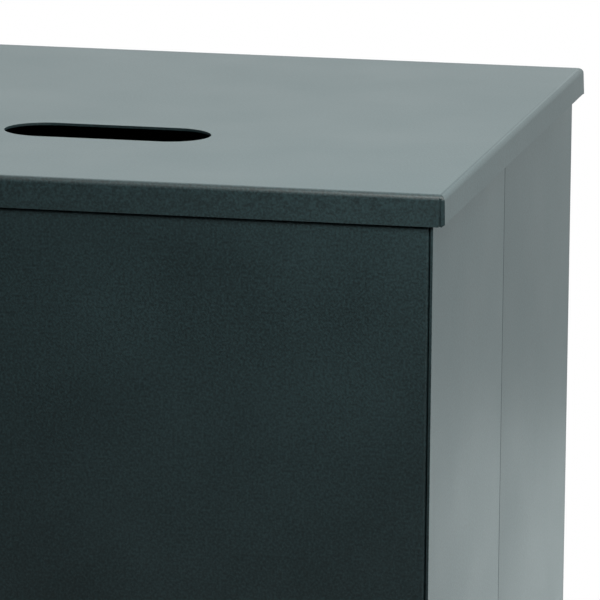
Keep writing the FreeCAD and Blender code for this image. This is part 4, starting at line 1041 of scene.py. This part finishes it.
class DROPBOX_OT_mat(DropBoxPiece, bpy.types.Operator):
    """Cut the platform's felt mat and let its foam swell"""

    bl_idname = "dropbox.mat"
    bl_label = "Platform mat"

    def execute(self, context):
        low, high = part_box("platform_mat")
        post_low, post_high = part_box("right_guide_post")
        thick = high.z - low.z
        clear = 12 * MM
        slack = 1.2 * MM
        mat = add_block("felt_mat", (low.x + slack, low.y + slack, low.z),
                        (high.x - slack, high.y - slack, high.z - slack))
        cutters = []
        for _, sign in SIDES:
            across = sorted((sign * (post_low.x - clear - slack), sign * (high.x + clear)))
            cutters.append(add_block("post_notch",
                                     (across[0], post_low.y - clear - slack, low.z - thick),
                                     (across[1], post_high.y + clear + slack, high.z + thick)))
        cut_out(mat, cutters)
        self.swell(context.scene, mat, low.z, slack)
        hang(mat, "platform_mat")
        return {"FINISHED"}

    def swell(self, scene, mat, seat, cap):
        """Blow the foam up by cloth pressure, hold its seat flat and cap how far it moves."""
        cell = 4 * MM
        frames = 20
        finish_modifier(mat, "REMESH", mode="VOXEL", voxel_size=cell)
        before = [v.co.copy() for v in mat.data.vertices]
        select_only(mat)
        cloth = mat.modifiers.new("Foam", "CLOTH")
        cloth.settings.use_pressure = True
        cloth.settings.uniform_pressure_force = 4
        cloth.settings.effector_weights.gravity = 0
        for step in range(1, frames + 1):
            scene.frame_set(step)
        bpy.ops.object.modifier_apply(modifier=cloth.name)
        for vertex, start in zip(mat.data.vertices, before):
            move = vertex.co - start
            if start.z < seat + cell / 8:
                move = Vector((0, 0, 0))
            elif move.length > cap:
                move *= cap / move.length
            vertex.co = start + move
            vertex.co.z = max(vertex.co.z, seat)
        scene.frame_set(1)
        finish_modifier(mat, "SUBSURF", levels=1, render_levels=1)
        bpy.ops.object.shade_smooth()


class DROPBOX_OT_stage(DropBoxPiece, bpy.types.Operator):
    """Set the floor, the studio light and the camera"""

    bl_idname = "dropbox.stage"
    bl_label = "Stage"

    def execute(self, context):
        self.add_floor()
        self.add_world(context.scene)
        self.add_lights()
        self.add_camera(context.scene)
        context.scene.view_settings.view_transform = "Standard"
        return {"FINISHED"}

    def add_floor(self):
        """A pale round floor under the box, which fades out towards its rim and from below."""
        radius = 1.9
        fade_from, fade_to = 1.1, 1.85
        gap = 0.2 * MM
        bpy.ops.object.select_all(action="DESELECT")
        bpy.ops.mesh.primitive_circle_add(vertices=128, radius=radius, fill_type="NGON",
                                          location=(0, 0, -gap))
        floor = settle("floor")
        material, shader = start_material("pale_studio_floor")
        shader.inputs["Base Color"].default_value = (*linear("#e5e0df"), 1)
        shader.inputs["Roughness"].default_value = 0.9
        tree = material.node_tree
        place = add_node(tree, "ShaderNodeTexCoord").outputs["Object"]
        away = add_node(tree, "ShaderNodeVectorMath", {0: place}, operation="LENGTH")
        fade = add_node(tree, "ShaderNodeMapRange",
                        {"Value": away.outputs["Value"], "From Min": fade_from,
                         "From Max": fade_to, "To Min": 1.0, "To Max": 0.0},
                        interpolation_type="SMOOTHSTEP")
        below = add_node(tree, "ShaderNodeNewGeometry").outputs["Backfacing"]
        above = add_node(tree, "ShaderNodeMath", {0: 1.0, 1: below}, operation="SUBTRACT")
        alpha = add_node(tree, "ShaderNodeMath",
                         {0: fade.outputs["Result"], 1: above.outputs[0]}, operation="MULTIPLY")
        tree.links.new(alpha.outputs[0], shader.inputs["Alpha"])
        floor.data.materials.append(material)

    def add_world(self, scene):
        """White surroundings that are brighter behind the box than in front of it."""
        world = bpy.data.worlds.new("studio")
        scene.world = world
        world.use_nodes = True
        tree = world.node_tree
        back = tree.nodes["Background"]
        direction = add_node(tree, "ShaderNodeTexCoord").outputs["Generated"]
        parts = add_node(tree, "ShaderNodeSeparateXYZ", {"Vector": direction})
        share = add_node(tree, "ShaderNodeMapRange",
                         {"Value": parts.outputs["Y"], "From Min": -1.0, "From Max": 1.0})
        ramp = add_node(tree, "ShaderNodeValToRGB", {"Fac": share.outputs["Result"]})
        tint = (0.86, 0.99, 1.0)
        set_ramp(ramp, [(place, tuple(level * c for c in tint)) for place, level in
                        ((0.0, 0.03), (0.45, 0.12), (0.75, 0.55), (1.0, 1.0))])
        height = add_node(tree, "ShaderNodeMapRange",
                          {"Value": parts.outputs["Z"], "From Min": -0.35, "From Max": 0.25,
                           "To Min": 0.66, "To Max": 1.79})
        tree.links.new(ramp.outputs["Color"], back.inputs["Color"])
        tree.links.new(height.outputs["Result"], back.inputs["Strength"])
        plain = add_node(tree, "ShaderNodeBackground", {"Color": (1, 1, 1, 1), "Strength": 1.0})
        seen = add_node(tree, "ShaderNodeLightPath").outputs["Is Camera Ray"]
        mix = add_node(tree, "ShaderNodeMixShader",
                       {0: seen, 1: back.outputs[0], 2: plain.outputs[0]})
        tree.links.new(mix.outputs[0], tree.nodes["World Output"].inputs["Surface"])

    def add_lights(self):
        """Soft boxes: a wide one overhead, one at the front, one to the right, a low one behind."""
        warm = (1.0, 0.98, 0.93)
        cool = (0.88, 1.0, 1.0)
        self.add_softbox("overhead_softbox", (0.1, -0.5, 2.5), (0, -0.2, 0.8), 2.0, 10, warm)
        self.add_softbox("front_softbox", (0.5, -0.78, 1.6), (0.2, -0.3, 0.87), 0.4, 16, warm)
        self.add_softbox("right_softbox", (3.0, -0.7, 0.6), (0.2, -0.2, 0.6), 0.9, 16, warm)
        self.add_softbox("rear_softbox", (0.6, 1.35, 0.2), (0.29, 0.2, 0.35), 0.35, 0.56, cool)

    def add_softbox(self, name, place, target, size, energy, colour):
        """A square light at a place, aimed at a target, that the camera doesn't see."""
        light = bpy.data.lights.new(name, "AREA")
        light.color = colour
        light.size = size
        light.energy = energy
        lamp = bpy.data.objects.new(name, light)
        bpy.context.scene.collection.objects.link(lamp)
        lamp.location = place
        lamp.rotation_euler = (Vector(place) - Vector(target)).to_track_quat("Z", "Y").to_euler()
        lamp.visible_camera = False

    def add_camera(self, scene):
        """Long lens, close to level, to the right of the door."""
        studio = scene.drop_box_studio
        data = bpy.data.cameras.new("camera")
        data.lens = studio.lens
        data.sensor_width = 36
        data.clip_end = 100
        camera = bpy.data.objects.new("camera", data)
        scene.collection.objects.link(camera)
        a, e = studio.azimuth, studio.elevation
        right = Vector((math.cos(a), math.sin(a), 0))
        ahead = Vector((-math.sin(a) * math.cos(e), math.cos(a) * math.cos(e), -math.sin(e)))
        up = right.cross(ahead)
        leaned = right * math.cos(studio.roll) + up * math.sin(studio.roll)
        upright = up * math.cos(studio.roll) - right * math.sin(studio.roll)
        turn = Matrix((leaned, upright, -ahead)).transposed()
        lid_front = Vector((0, CAD_LOW.y, CAD_HIGH.z))
        stand = Vector((1.1209, -4.5566, 0.8046))
        camera.matrix_world = Matrix.Translation(lid_front + stand) @ turn.to_4x4()
        scene.camera = camera


class DROPBOX_PT_panel(bpy.types.Panel):
    """Lists the pieces of the drop box"""

    bl_label = "Book drop box"
    bl_space_type = "VIEW_3D"
    bl_region_type = "UI"
    bl_category = "Drop Box"

    def draw(self, context):
        for settings, _ in SETTINGS:
            group = getattr(context.scene, settings)
            box = self.layout.box()
            for name in group.__annotations__:
                box.prop(group, name)
        for operator in OPERATORS:
            self.layout.operator(operator.bl_idname)


SETTINGS = (
    ("drop_box_paint", DropBoxPaint),
    ("drop_box_sheet", DropBoxSheet),
    ("drop_box_studio", DropBoxStudio),
)
OPERATORS = (DROPBOX_OT_lid, DROPBOX_OT_door, DROPBOX_OT_walls, DROPBOX_OT_frame_sheets,
             DROPBOX_OT_pans, DROPBOX_OT_springs, DROPBOX_OT_mat, DROPBOX_OT_screws,
             DROPBOX_OT_brackets, DROPBOX_OT_stage)


def register():
    for name, group in SETTINGS:
        bpy.utils.register_class(group)
        setattr(bpy.types.Scene, name, PointerProperty(type=group))
    for operator in OPERATORS:
        bpy.utils.register_class(operator)
    bpy.utils.register_class(DROPBOX_PT_panel)


def unregister():
    bpy.utils.unregister_class(DROPBOX_PT_panel)
    for operator in reversed(OPERATORS):
        bpy.utils.unregister_class(operator)
    for name, group in reversed(SETTINGS):
        delattr(bpy.types.Scene, name)
        bpy.utils.unregister_class(group)


def main():
    register()
    bpy.ops.dropbox.lid()
    bpy.ops.dropbox.door()
    bpy.ops.dropbox.walls()
    bpy.ops.dropbox.frame_sheets()
    bpy.ops.dropbox.pans()
    bpy.ops.dropbox.springs()
    bpy.ops.dropbox.mat()
    bpy.ops.dropbox.screws()
    bpy.ops.dropbox.brackets()
    bpy.ops.dropbox.stage()


if __name__ == "__main__":
    main()
